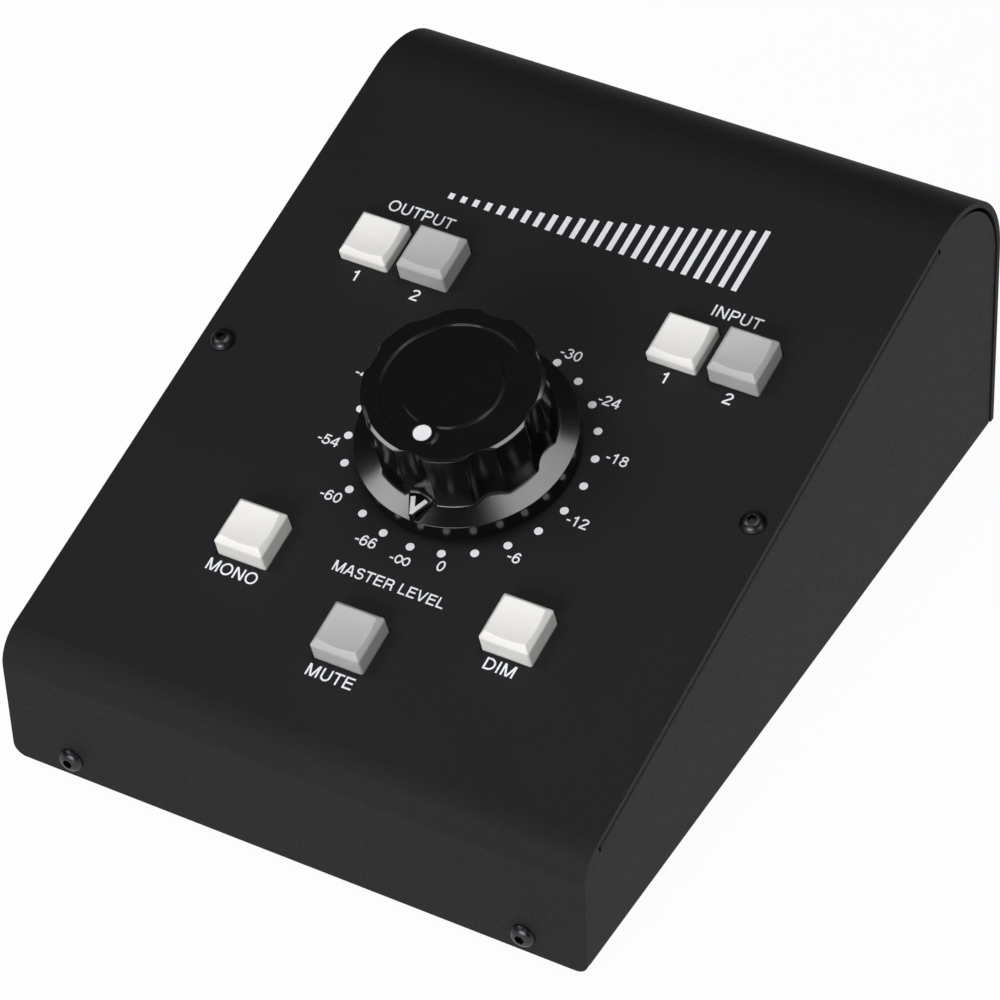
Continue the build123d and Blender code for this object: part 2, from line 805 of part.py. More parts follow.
def keycap(name, u, v, sink):
    """Hollow square cap with a bevelled edge and a dished top, sunk by sink."""
    with BuildPart() as cap:
        with BuildSketch(deck(-cap_skirt - sink, u, v)):
            RectangleRounded(cap_side, cap_side, cap_corner)
        with BuildSketch(deck(cap_shoulder - sink, u, v)):
            RectangleRounded(cap_shoulder_side, cap_shoulder_side, cap_corner)
        loft()
        with BuildSketch(deck(cap_shoulder - sink, u, v)):
            RectangleRounded(cap_shoulder_side, cap_shoulder_side, cap_corner)
        with BuildSketch(deck(cap_top - sink, u, v)):
            RectangleRounded(cap_top_side, cap_top_side, cap_corner / 2)
        loft()
        dish_height = math.sqrt(cap_dish_radius**2 - cap_top_side**2 / 2)
        with Locations(deck(cap_top - sink + dish_height, u, v)):
            Sphere(cap_dish_radius, mode=Mode.SUBTRACT)
        with BuildSketch(deck(-cap_skirt - sink, u, v)):
            Rectangle(cap_side - 2 * cap_wall, cap_side - 2 * cap_wall)
            Rectangle(cap_boss, cap_boss, mode=Mode.SUBTRACT)
        extrude(amount=cap_skirt + cap_shoulder - cap_wall, mode=Mode.SUBTRACT)
        with BuildSketch(deck(-cap_skirt - sink, u, v)):
            Rectangle(stem_side + 2 * press_play, stem_side + 2 * press_play)
        extrude(amount=stem_in_cap + press_play, mode=Mode.SUBTRACT)
    save(cap, f"cap_{name}")


def plunger(name, u, v, sink):
    """Square plunger with the stem that carries the cap."""
    with BuildPart() as slider:
        with BuildSketch(deck(plunger_bottom - sink, u, v)):
            Rectangle(plunger_side, plunger_side)
        extrude(amount=plunger_height)
        with BuildSketch(deck(plunger_bottom - sink, u, v)):
            Rectangle(stem_side, stem_side)
        extrude(amount=stem_top - plunger_bottom)
    save(slider, f"plunger_{name}")


def return_spring(name, u, v, sink):
    """Coil between the housing's floor and the plunger."""
    with BuildPart() as spring:
        length = plunger_bottom - sink - well_floor - 2 * spring_seat
        coil(deck(well_floor + spring_seat, u, v), return_radius, return_wire / 2, length, return_turns)
    save(spring, f"spring_{name}")


for name, u, v, latched in buttons:
    sink = latch_depth if latched else 0.0
    keycap(name, u, v, sink)
    plunger(name, u, v, sink)
    return_spring(name, u, v, sink)

with BuildPart() as switch_housings:
    for name, u, v, latched in buttons:
        with BuildSketch(deck(housing_bottom, u, v)):
            Rectangle(housing_side, housing_side)
        extrude(amount=housing_height)
        with BuildSketch(deck(well_floor, u, v)):
            Rectangle(plunger_side + 2 * plunger_play, plunger_side + 2 * plunger_play)
        extrude(amount=housing_height, mode=Mode.SUBTRACT)
save(switch_housings, "switch_housings")

with BuildPart() as switch_lids:
    for name, u, v, latched in buttons:
        with BuildSketch(deck(housing_top, u, v)):
            Rectangle(housing_side, housing_side)
            Rectangle(stem_side + 2 * stem_play, stem_side + 2 * stem_play, mode=Mode.SUBTRACT)
        extrude(amount=lid_thickness)
save(switch_lids, "switch_lids")

with BuildPart() as switch_terminals:
    for name, u, v, latched in buttons:
        with BuildSketch(deck(housing_bottom, u, v)):
            with GridLocations(pin_pitch_u, pin_pitch_v, 3, 2):
                Circle(pin_radius)
        extrude(amount=-pin_length)
save(switch_terminals, "switch_terminals")

# ================================================================ control board
board_top = -board_depth
board_bottom = board_top - board_thickness
standoff_spots = [
    (side * standoff_u, v) for side in (-1, 1) for v in (standoff_low, standoff_high)
]

with BuildPart() as control_board:
    with BuildSketch(deck(board_top)):
        with Locations((0, (board_low + board_high) / 2)):
            Rectangle(board_width, board_high - board_low)
        Circle(board_opening, mode=Mode.SUBTRACT)
        with Locations(*standoff_spots):
            Circle(screw_radius + screw_play, mode=Mode.SUBTRACT)
        for name, u, v, latched in buttons:
            with Locations((u, v)):
                with GridLocations(pin_pitch_u, pin_pitch_v, 3, 2):
                    Circle(pin_radius + board_hole_play, mode=Mode.SUBTRACT)
    extrude(amount=-board_thickness)
save(control_board, "control_board")

with BuildPart() as board_standoffs:
    with BuildSketch(deck(-sheet)):
        with Locations(*standoff_spots):
            RegularPolygon(standoff_across / 2, 6, major_radius=False)
    extrude(amount=board_top + sheet)
    with BuildSketch(deck(board_top)):
        with Locations(*standoff_spots):
            Circle(screw_radius + thread_play)
    extrude(amount=standoff_thread, mode=Mode.SUBTRACT)
save(board_standoffs, "board_standoffs")

with BuildPart() as board_screws:
    with BuildSketch(deck(board_bottom)):
        with Locations(*standoff_spots):
            Circle(screw_radius)
    extrude(amount=board_thickness + standoff_thread - 2 * thread_play)
    with BuildSketch(deck(board_bottom)):
        with Locations(*standoff_spots):
            Circle(board_screw_head)
    extrude(amount=-board_screw_height)
save(board_screws, "board_screws")

# ================================================================ rear jacks
jack_face = -sheet
with BuildPart() as jack_body:
    with BuildSketch(Plane.XY.offset(jack_face)):
        Rectangle(jack_body_width, jack_body_height)
    extrude(amount=-jack_body_length)
    bore([Plane.XY.offset(jack_face)], jack_sleeve_radius + press_play, jack_sleeve_root)
    bore([Plane.XY.offset(jack_face)], jack_bore, jack_body_length - jack_blind)

with BuildPart() as jack_bodies:
    with Locations(*jack_spots):
        add(jack_body.part)
save(jack_bodies, "jack_bodies")

with BuildPart() as jack_sleeves:
    for spot in jack_spots:
        ring(
            spot.offset(jack_face - jack_sleeve_root),
            jack_sleeve_radius,
            jack_bore,
            jack_sleeve_root + sheet + jack_sleeve_reach,
        )
save(jack_sleeves, "jack_sleeves")

with BuildPart() as jack_nuts:
    for spot in jack_spots:
        with BuildSketch(spot):
            RegularPolygon(jack_nut_across / 2, 6, major_radius=False)
            Circle(jack_sleeve_radius + thread_play, mode=Mode.SUBTRACT)
        extrude(amount=jack_nut_thickness)
save(jack_nuts, "jack_nuts")

jack_board_y = case_depth / 2 - sheet - jack_body_length
jack_pin_spots = [
    (spot.origin.X + side * jack_pin_pitch_x / 2, spot.origin.Z + rise * jack_pin_pitch_z / 2)
    for spot in jack_spots
    for side in (-1, 1)
    for rise in (-1, 1)
]
with BuildPart() as jack_board:
    with BuildSketch(Plane.XZ.offset(-jack_board_y)):
        with Locations((0, floor_z + (jack_board_low + jack_board_high) / 2)):
            Rectangle(jack_board_width, jack_board_high - jack_board_low)
        with Locations(*jack_pin_spots):
            Circle(jack_pin_radius + board_hole_play, mode=Mode.SUBTRACT)
    extrude(amount=board_thickness)
save(jack_board, "jack_board")

with BuildPart() as jack_terminals:
    with BuildSketch(Plane.XZ.offset(-jack_board_y)):
        with Locations(*jack_pin_spots):
            Circle(jack_pin_radius)
    extrude(amount=jack_pin_length)
save(jack_terminals, "jack_terminals")

# ================================================================ links between the boards
jack_board_face = jack_board_y - board_thickness
with BuildPart() as ribbon_connectors:
    with BuildSketch(deck(board_bottom)):
        with Locations((0, connector_v)):
            Rectangle(connector_length, connector_width)
    extrude(amount=-connector_height)
    with BuildSketch(Plane.XZ.offset(-jack_board_face)):
        with Locations((0, ribbon_height)):
            Rectangle(connector_length, connector_width)
    extrude(amount=connector_height)
save(ribbon_connectors, "ribbon_connectors")

# The ribbon leaves the upper connector square to the board, bends once and runs level.
ribbon_start = panel.from_local_coords((0, connector_v, board_bottom - connector_height))
ribbon_fall = (ribbon_start.Z - ribbon_height) * math.tan(slope)
with BuildPart() as ribbon_cable:
    with BuildSketch(Plane.YZ):
        with BuildLine():
            FilletPolyline(
                (ribbon_start.Y, ribbon_start.Z),
                (ribbon_start.Y + ribbon_fall, ribbon_height),
                (jack_board_face - connector_height, ribbon_height),
                radius=ribbon_bend,
            )
        trace(line_width=ribbon_thickness)
    extrude(amount=ribbon_width / 2, both=True)
save(ribbon_cable, "ribbon_cable")

with BuildPart() as pad_resistors:
    for place in range(pad_resistor_count):
        shift = (place - (pad_resistor_count - 1) / 2) * pad_resistor_pitch
        with BuildSketch(deck(board_bottom, shift, -board_opening - pad_resistor_length)):
            Rectangle(2 * pad_resistor_radius, pad_resistor_length)
        extrude(amount=-2 * pad_resistor_radius)
save(pad_resistors, "pad_resistors")
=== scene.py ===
"""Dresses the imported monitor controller: knob, key caps, panel print, finishes and a plain studio."""

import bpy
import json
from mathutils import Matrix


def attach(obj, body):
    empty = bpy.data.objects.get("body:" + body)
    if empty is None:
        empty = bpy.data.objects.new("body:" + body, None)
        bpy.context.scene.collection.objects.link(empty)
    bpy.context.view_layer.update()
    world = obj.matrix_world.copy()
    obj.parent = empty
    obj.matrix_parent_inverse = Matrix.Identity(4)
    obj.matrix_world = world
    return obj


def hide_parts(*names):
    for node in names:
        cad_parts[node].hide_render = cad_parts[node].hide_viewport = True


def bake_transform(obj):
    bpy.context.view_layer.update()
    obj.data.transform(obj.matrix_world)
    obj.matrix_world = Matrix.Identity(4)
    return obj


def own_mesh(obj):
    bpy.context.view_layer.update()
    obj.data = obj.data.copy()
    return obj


bl_info = {
    "name": "Monitor Controller",
    "version": (1, 0, 0),
    "blender": (4, 5, 0),
    "location": "View3D > Sidebar > Controller",
    "description": "Builds the visible pieces and finishes of a desktop monitor controller",
    "category": "Add Mesh",
}

import json
import math

import bpy
import numpy as np
from bpy.props import FloatProperty, FloatVectorProperty, PointerProperty
from mathutils import Matrix, Vector

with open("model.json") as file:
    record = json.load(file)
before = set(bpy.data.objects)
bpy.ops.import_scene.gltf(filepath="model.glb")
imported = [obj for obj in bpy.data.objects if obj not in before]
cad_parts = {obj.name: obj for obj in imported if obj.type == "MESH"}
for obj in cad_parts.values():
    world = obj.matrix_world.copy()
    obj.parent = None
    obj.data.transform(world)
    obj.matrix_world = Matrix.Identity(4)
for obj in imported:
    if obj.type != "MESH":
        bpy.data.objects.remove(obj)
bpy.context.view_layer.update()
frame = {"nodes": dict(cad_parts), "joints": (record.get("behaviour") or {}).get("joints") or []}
MM = 0.001

# ---------------------------------------------------------------- the panel's own axes
KNOB_JOINT = next(joint for joint in frame["joints"] if joint["name"] == "knob_turn")
DIAL = np.array(KNOB_JOINT["pos_m"])
OUT = np.array(KNOB_JOINT["axis"])
RIGHT = np.array([1.0, 0.0, 0.0])
UP = np.cross(OUT, RIGHT)
PANEL_AXES = np.array([RIGHT, UP, OUT])
POINTER_ANGLE = math.radians(-90.0)

# each button's place right of the dial's centre and up the slope, in millimetres, and its colour
BUTTONS = {
    "output_1": (-45.5, 40.0, "ivory"),
    "output_2": (-30.5, 40.0, "grey"),
    "input_1": (30.5, 40.0, "ivory"),
    "input_2": (45.5, 40.0, "grey"),
    "mono": (-32.0, -38.0, "ivory"),
    "mute": (0.0, -53.0, "grey"),
    "dim": (32.0, -38.0, "ivory"),
}
LATCHED = ("output_1", "input_1")

# words: text, middle right of the dial's centre and up the slope, drawn width and capital height, in mm
LABELS = (
    ("OUTPUT", -39.85, 50.9, 16.3, 2.9),
    ("INPUT", 38.1, 51.0, 11.6, 2.9),
    ("MASTER LEVEL", 0.4, -37.2, 26.7, 2.6),
    ("MONO", -32.5, -46.85, 12.1, 2.9),
    ("DIM", 31.9, -46.55, 7.0, 2.9),
    ("MUTE", -0.1, -61.85, 11.0, 2.9),
)

# numbers: text, middle right of the dial's centre and up the slope, in mm
CHANNELS = (("1", -45.7, 31.0), ("2", -30.6, 31.0), ("1", 30.5, 31.25), ("2", 45.7, 31.25))
LEVELS = (
    ("0", 8.5, -29.0), ("-6", 21.9, -21.3), ("-12", 30.25, -8.5), ("-18", 30.8, 8.7),
    ("-24", 22.35, 21.4), ("-30", 8.95, 29.4), ("-36", -9.3, 29.4), ("-42", -22.6, 21.4),
    ("-48", -30.4, 8.5), ("-54", -29.75, -9.55), ("-60", -22.2, -22.0), ("-66", -9.5, -29.4),
    ("-∞", -0.45, -30.8),
)

# the camera's axes as columns (to its right, up, and back towards the viewer) and its place, in metres
CAMERA_PLACE = (
    (0.869785, -0.304844, 0.388001, 0.416365),
    (0.492078, 0.594080, -0.636340, -0.689298),
    (-0.036519, 0.744405, 0.666729, 0.748145),
    (0.0, 0.0, 0.0, 1.0),
)


def on_panel(points):
    """Points in metres from places in mm: right of the dial's centre, up the slope, out of the panel."""
    return DIAL + MM * (np.asarray(points, float) @ PANEL_AXES)


# ================================================================ sizes and colours
COLOUR = {"subtype": "COLOR", "size": 3, "min": 0.0, "max": 1.0}


class CaseFinish(bpy.types.PropertyGroup):
    """Powder coat of the case."""

    paint: FloatVectorProperty(
        name="Paint", description="Colour of the powder coat", default=(0.0082, 0.0082, 0.0096), **COLOUR
    )
    roughness: FloatProperty(
        name="Roughness", description="Roughness of coat", default=0.66, min=0.0, max=1.0, subtype="FACTOR"
    )
    grain: FloatProperty(
        name="Grain", description="Size of the coat's texture", default=0.55 * MM, unit="LENGTH", precision=5
    )


class KnobSizes(bpy.types.PropertyGroup):
    """Sizes of the level knob, as in the solid that it stands for."""

    skirt_radius: FloatProperty(
        name="Skirt radius", description="Radius of the rim", default=24.3 * MM, unit="LENGTH"
    )
    grip_radius: FloatProperty(
        name="Grip radius", description="Radius over the grip's ribs", default=19.9 * MM, unit="LENGTH"
    )
    height: FloatProperty(
        name="Height", description="Top of the knob above the panel", default=23.0 * MM, unit="LENGTH"
    )
    flute_radius: FloatProperty(
        name="Flute radius", description="Radius of each flute's cutter", default=6.7 * MM, unit="LENGTH"
    )
    flute_offset: FloatProperty(
        name="Flute offset", description="From the axis to a flute's axis", default=25.2 * MM, unit="LENGTH"
    )
    channel_depth: FloatProperty(
        name="Channel depth", description="Depth of the ring in the top", default=0.45 * MM, unit="LENGTH"
    )
    bevel_width: FloatProperty(
        name="Bevel width", description="Bevel of the ribs, from above", default=0.8 * MM, unit="LENGTH"
    )
    bevel_height: FloatProperty(
        name="Bevel height", description="Bevel of the ribs, upright", default=0.28 * MM, unit="LENGTH"
    )
    nose_top: FloatProperty(
        name="Nose top", description="Flat top of the pointer's nose", default=7.85 * MM, unit="LENGTH"
    )
    nose_end: FloatProperty(
        name="Nose end", description="From the axis to the nose's end", default=24.2 * MM, unit="LENGTH"
    )
    nose_flare: FloatProperty(
        name="Nose flare",
        description="Between the nose's middle and each side",
        default=math.radians(27.0),
        subtype="ANGLE",
    )
    plastic: FloatVectorProperty(
        name="Plastic", description="Colour of the moulded knob", default=(0.0026, 0.0024, 0.0021), **COLOUR
    )


class CapSizes(bpy.types.PropertyGroup):
    """Sizes and colours of the push-button caps, and sizes of their return springs."""

    side: FloatProperty(name="Side", description="Width at the lower edge", default=12.0 * MM, unit="LENGTH")
    shoulder: FloatProperty(
        name="Shoulder", description="Height of the shoulder, button up", default=4.3 * MM, unit="LENGTH"
    )
    bevel: FloatProperty(name="Bevel", description="Height of the bevel", default=1.6 * MM, unit="LENGTH")
    dish: FloatProperty(name="Dish", description="Radius of the dished top", default=26.0 * MM, unit="LENGTH")
    latch: FloatProperty(
        name="Latch", description="How far a latched button stays down", default=2.3 * MM, unit="LENGTH"
    )
    travel: FloatProperty(name="Travel", description="Travel of a button", default=3.0 * MM, unit="LENGTH")
    spring_seat: FloatProperty(
        name="Spring seat", description="A spring's foot below the panel", default=18.45 * MM, unit="LENGTH"
    )
    spring_length: FloatProperty(
        name="Spring length", description="Return spring, button up", default=4.35 * MM, unit="LENGTH"
    )
    ivory: FloatVectorProperty(
        name="Ivory", description="Colour of the light caps", default=(0.865, 0.85, 0.82), **COLOUR
    )
    grey: FloatVectorProperty(
        name="Grey", description="Colour of the grey caps", default=(0.485, 0.485, 0.496), **COLOUR
    )


class PrintSizes(bpy.types.PropertyGroup):
    """Screen print on the panel."""

    dot_circle: FloatProperty(
        name="Dot circle", description="Radius of the circle of dots", default=27.23 * MM, unit="LENGTH"
    )
    dot_radius: FloatProperty(name="Dot", description="Radius of one dot", default=0.95 * MM, unit="LENGTH")
    number_height: FloatProperty(
        name="Number height", description="Height of the dial's numbers", default=2.62 * MM, unit="LENGTH"
    )
    stroke: FloatProperty(
        name="Stroke", description="Stroke as a share of the capital height", default=0.145, subtype="FACTOR"
    )
    thickness: FloatProperty(
        name="Ink thickness", description="How far the ink stands out", default=0.03 * MM, unit="LENGTH"
    )
    ink: FloatVectorProperty(
        name="Ink", description="Colour of the print", default=(0.82, 0.84, 0.88), **COLOUR
    )


class StageSizes(bpy.types.PropertyGroup):
    """Floor, lamps and room."""

    floor_size: FloatProperty(name="Floor", description="Side of the floor", default=6.0, unit="LENGTH")
    overhead_power: FloatProperty(name="Top lamp", description="Power in watts", default=4.2, unit="POWER")
    left_power: FloatProperty(name="Left lamp", description="Power in watts", default=2.4, unit="POWER")
    right_power: FloatProperty(name="Right lamp", description="Power in watts", default=1.9, unit="POWER")
    front_power: FloatProperty(name="Front lamp", description="Power in watts", default=12.5, unit="POWER")
    world_level: FloatProperty(name="Room", description="Strength of the room's light", default=0.04)


# ================================================================ meshes
def make_object(name, vertices, faces, smooth=True):
    """One mesh object at the origin from vertex and face arrays."""
    mesh = bpy.data.meshes.new(name)
    mesh.from_pydata(vertices.reshape(-1, 3).tolist(), [], faces)
    mesh.polygons.foreach_set("use_smooth", np.full(len(mesh.polygons), smooth))
    mesh.update()
    piece = bpy.data.objects.new(name, mesh)
    bpy.context.scene.collection.objects.link(piece)
    return piece


def turned_faces(rows, columns):
    """Quads between neighbouring rows of a grid whose columns close into a ring, as index arrays."""
    row, column = np.meshgrid(np.arange(rows - 1), np.arange(columns), indexing="ij")
    following = (column + 1) % columns
    low, high = row * columns, (row + 1) * columns
    quads = np.stack([low + column, low + following, high + following, high + column], axis=-1)
    return quads.reshape(-1, 4)


def closed_piece(name, grid, start, end):
    """A closed surface from rings of points: the rings in order, with one pole before and one after."""
    rows, columns = grid.shape[:2]
    vertices = np.concatenate([grid.reshape(-1, 3), [start], [end]])
    first = np.arange(columns)
    following = (first + 1) % columns
    first_pole = np.full(columns, rows * columns)
    last = (rows - 1) * columns
    opening = np.stack([first_pole, following, first], axis=-1)
    closing = np.stack([first_pole + 1, last + first, last + following], axis=-1)
    faces = turned_faces(rows, columns).tolist() + opening.tolist() + closing.tolist()
    return make_object(name, vertices, faces)


def soft_min(a, b, blend):
    """The smaller of two values, rounded off where they come within blend of each other."""
    h = np.clip(0.5 + 0.5 * (b - a) / blend, 0.0, 1.0)
    return b * (1 - h) + a * h - blend * h * (1 - h)


def soft_step(x, low, high):
    """0 below low, 1 above high, and a cubic ease between them."""
    t = np.clip((x - low) / (high - low), 0.0, 1.0)
    return t * t * (3 - 2 * t)


# ================================================================ finishes
def tone(colour, factor):
    """The colour made lighter or darker by a factor, opaque."""
    return (*(min(1.0, channel * factor) for channel in colour), 1.0)


class Finish:
    """A node material in the making: one shader, and nodes that feed its inputs."""

    def __init__(self, name, values=None, shader="BsdfPrincipled"):
        self.material = bpy.data.materials.new(name)
        self.material.use_nodes = True
        self.tree = self.material.node_tree
        self.tree.nodes.clear()
        self.shader = self.add(shader, values)
        self.link(self.shader.outputs[0], self.add("OutputMaterial"), "Surface")

    def add(self, kind, values=None):
        """A new shader node, with values for some of its inputs."""
        node = self.tree.nodes.new("ShaderNode" + kind)
        for entry, value in (values or {}).items():
            node.inputs[entry].default_value = value
        return node

    def link(self, source, node, entry):
        """Feeds a node's input from another node's output."""
        self.tree.links.new(source, node.inputs[entry])

    def place(self):
        """The object's own coordinates."""
        return self.add("TexCoord").outputs["Object"]

    def noise(self, size, detail, stretch=(1.0, 1.0, 1.0)):
        """Noise with features of about size metres, stretched along the object's axes."""
        mapping = self.add("Mapping", {"Scale": stretch})
        texture = self.add("TexNoise", {"Scale": 1.0 / size, "Detail": detail})
        self.link(self.place(), mapping, "Vector")
        self.link(mapping.outputs[0], texture, "Vector")
        return texture.outputs["Fac"]

    def colour(self, source, base, low, high, start=0.3, stop=0.7):
        """Base colour, times a factor from low to high as the source goes from start to stop."""
        ramp = self.add("ValToRGB")
        for element, position, factor in zip(ramp.color_ramp.elements, (start, stop), (low, high)):
            element.position = position
            element.color = tone(base, factor)
        self.link(source, ramp, 0)
        self.link(ramp.outputs[0], self.shader, "Base Color")

    def roughness(self, source, low, high, start=0.3, stop=0.7):
        """Roughness that runs from low to high as the source goes from start to stop."""
        level = self.add("MapRange", {"From Min": start, "From Max": stop, "To Min": low, "To Max": high})
        self.link(source, level, "Value")
        self.link(level.outputs[0], self.shader, "Roughness")

    def bump(self, source, depth, strength):
        """Bumps of about depth metres."""
        node = self.add("Bump", {"Strength": strength, "Distance": depth})
        self.link(source, node, "Height")
        self.link(node.outputs[0], self.shader, "Normal")


def powder_coat(colour, roughness, grain):
    """Black powder coat: a fine orange-peel grain, with slightly uneven gloss."""
    coat = Finish("powder_coat", {"Specular IOR Level": 0.23})
    peel = coat.noise(grain, detail=2.0)
    patches = coat.noise(35 * MM, detail=4.0)
    coat.colour(patches, colour, 0.93, 1.08)
    coat.roughness(peel, roughness - 0.05, roughness + 0.07)
    coat.bump(peel, depth=0.025 * MM, strength=0.6)
    return coat.material


def plastic(name, colour, roughness, specular, haze=0.04, grain=0.0, sheen=0.0):
    """Moulded plastic: slight flow marks in colour and gloss, and a fine grain where asked."""
    moulded = Finish(name, {"Specular IOR Level": specular, "Sheen Weight": sheen})
    flow = moulded.noise(6 * MM, detail=4.0, stretch=(1.0, 1.0, 2.2))
    moulded.colour(flow, colour, 1 - haze, 1 + haze)
    fine = moulded.noise(0.25 * MM, detail=2.0)
    moulded.roughness(fine, roughness * 0.9, roughness * 1.12)
    if grain > 0:
        moulded.bump(fine, depth=grain, strength=0.5)
    return moulded.material


def metal(name, colour, roughness, size=0.4 * MM, stretch=(1.0, 1.0, 1.0), depth=0.004 * MM):
    """Bare or plated metal: turned or brushed streaks in gloss, with a faint change of tone."""
    bare = Finish(name, {"Metallic": 1.0})
    streak = bare.noise(size, detail=3.0, stretch=stretch)
    bare.colour(streak, colour, 0.88, 1.05)
    bare.roughness(streak, roughness * 0.8, roughness * 1.3)
    bare.bump(streak, depth=depth, strength=0.4)
    return bare.material


def ink(colour):
    """Screen-printed ink: nearly flat white with a faint mesh texture."""
    printed = Finish("screen_ink")
    weave = printed.noise(0.3 * MM, detail=2.0)
    printed.colour(weave, colour, 0.95, 1.03)
    printed.roughness(weave, 0.42, 0.55)
    printed.bump(weave, depth=0.01 * MM, strength=0.4)
    return printed.material


def laminate(name, colour, lines):
    """Circuit board: solder mask with faint tracks under it, lines times as light, or plain resin."""
    board = Finish(name)
    track_pitch, track_width = 3.2 * MM, 0.08
    looks = {"Color1": tone(colour, 1.0), "Color2": tone(colour, 0.9), "Mortar": tone(colour, lines)}
    tracks = board.add("TexBrick", {"Scale": 1.0 / track_pitch, "Mortar Size": track_width, **looks})
    board.link(board.place(), tracks, "Vector")
    board.link(tracks.outputs["Color"], board.shader, "Base Color")
    board.roughness(board.noise(0.5 * MM, detail=2.0), 0.28, 0.42)
    return board.material


def flat_cable(colour):
    """Ribbon cable: grey vinyl with a groove between neighbouring wires, across the cable, and painted
    shade that darkens the colour in each groove. A wave texture of scale 1 has 10 / pi bands in each metre."""
    cable = Finish("ribbon_vinyl")
    wire_pitch = 1.27 * MM
    wires = cable.add("TexWave", {"Scale": math.pi / 10 / wire_pitch, "Distortion": 0.0})
    wires.wave_type, wires.bands_direction = "BANDS", "X"
    cable.link(cable.place(), wires, "Vector")
    round_wires = wires.outputs["Fac"]
    # painted shade: the colour falls to 0.7 of the vinyl's grey in the grooves between wires, where shade
    # falls
    cable.colour(round_wires, colour, 0.7, 1.0, start=0.0, stop=0.4)
    cable.roughness(round_wires, 0.6, 0.45)
    cable.bump(round_wires, depth=0.2 * MM, strength=0.6)
    return cable.material


def dress(material, *nodes):
    """Gives CAD nodes one material."""
    for node in nodes:
        mesh = frame["nodes"][node].data
        mesh.materials.clear()
        mesh.materials.append(material)


def finish_piece(piece, material, slot, body, *replaced):
    """Gives a new piece its material and body, and hides the nodes that it stands for. The slot is not used.
    """
    piece.data.materials.append(material)
    if replaced:
        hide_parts(*replaced)
    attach(piece, body)


# ================================================================ case
class CONTROLLER_OT_case(bpy.types.Operator):
    """Powder coats the cover and the chassis, and finishes their screws and feet"""

    bl_idname = "controller.case"
    bl_label = "Case"

    def execute(self, context):
        look = context.scene.controller_case
        dress(powder_coat(tuple(look.paint), look.roughness, look.grain), "cover", "chassis")
        dress(metal("black_oxide", (0.055, 0.055, 0.06), 0.34, size=0.6 * MM), "cover_screws")
        dress(metal("zinc_plate", (0.62, 0.63, 0.66), 0.28), "clinch_nuts")
        rubber = plastic("foot_rubber", (0.018, 0.018, 0.018), 0.8, 0.3, haze=0.1, grain=0.03 * MM, sheen=0.1)
        dress(rubber, "rubber_feet")
        return {"FINISHED"}


# ================================================================ knob
# the knob's underside from its bore outwards: the hub, the hollow of the grip and the hollow of the
# skirt, as distances from the axis and heights, in millimetres
BORE_TOP = 15.72
KNOB_INSIDE = (
    (0.2, BORE_TOP), (4.9, BORE_TOP), (5.02, 15.6), (5.02, 4.8), (5.12, 4.7), (7.4, 4.7), (7.5, 4.8),
    (7.5, 19.1), (7.6, 19.2), (15.4, 19.2), (15.5, 19.1), (15.5, 5.6), (15.6, 5.48), (22.3, 3.62),
    (22.4, 3.5), (22.4, 1.1), (22.5, 1.0),
)
FLUTES = 8


def grip_outline(angle, rib, sizes):
    """Radius of the fluted grip at an angle: the ribs' circle, or the near side of the flute's circle
    where that is smaller, with the corner between them rounded. One flute is at the pointer."""
    pitch = math.tau / FLUTES
    rounding = 0.35 * MM
    turn = (angle - POINTER_ANGLE + pitch / 2) % pitch - pitch / 2
    reach = sizes.flute_radius**2 - (sizes.flute_offset * np.sin(turn)) ** 2
    flute = sizes.flute_offset * np.cos(turn) - np.sqrt(np.clip(reach, 0, None))
    flute = np.where(reach > 0, flute, sizes.flute_offset)
    return soft_min(np.full_like(angle, rib), flute, rounding)


def knob_columns():
    """Mesh columns of the knob: weight, offset and rest, where a column's turn from the pointer is
    weight * (turn to the line along the nose's side, moved sideways by offset) + rest. So columns run
    along both sides of the nose, close together at its edges, and are 1.5 degrees apart elsewhere."""
    edge = np.array([-0.35, -0.12, -0.07, -0.04, -0.01, 0.02, 0.05, 0.08, 0.12, 0.25, 0.5]) * MM
    on_nose, beside = 24, 22
    inner = np.linspace(0, 1, on_nose + 2)[1:-1]
    outer = np.linspace(0, 1, beside + 2)[1:-1]
    spare = math.radians(18)
    far = np.linspace(spare, math.tau - spare, 217)
    weight = np.concatenate([inner, np.ones_like(edge), 1 - outer])
    offset = np.concatenate([np.full_like(inner, edge[0]), edge, np.full_like(outer, edge[-1])])
    rest = np.concatenate([0 * inner, 0 * edge, spare * outer])
    return (
        np.concatenate([[0.0], weight, 0 * far, -weight[::-1]]),
        np.concatenate([[edge[0]], offset, np.full_like(far, edge[-1]), offset[::-1]]),
        np.concatenate([[0.0], rest, far, math.tau - rest[::-1]]),
    )


def crown_heights(radius, turn, sizes):
    """Heights of the flat top at distances and turns from the pointer: eased steps sink the channel,
    but not the round pad that interrupts it, and sink the dot's pit in the middle of the pad."""
    ease = 0.08 * MM
    channel_inside, channel_outside = 10.98 * MM, 15.44 * MM
    pad_place, pad_radius, pad_ease = 13.2 * MM, 3.27 * MM, 0.09 * MM
    pit_radius, pit_ease, pit_depth = 2.035 * MM, 0.065 * MM, 0.6 * MM
    pad = np.hypot(radius * np.cos(turn) - pad_place, radius * np.sin(turn))
    channel = soft_step(radius, channel_inside - ease, channel_inside + ease)
    channel *= 1 - soft_step(radius, channel_outside - ease, channel_outside + ease)
    channel = channel * soft_step(pad, pad_radius - pad_ease, pad_radius + pad_ease)
    pit = 1 - soft_step(pad, pit_radius - pit_ease, pit_radius + pit_ease)
    return sizes.height - sizes.channel_depth * channel - pit_depth * pit


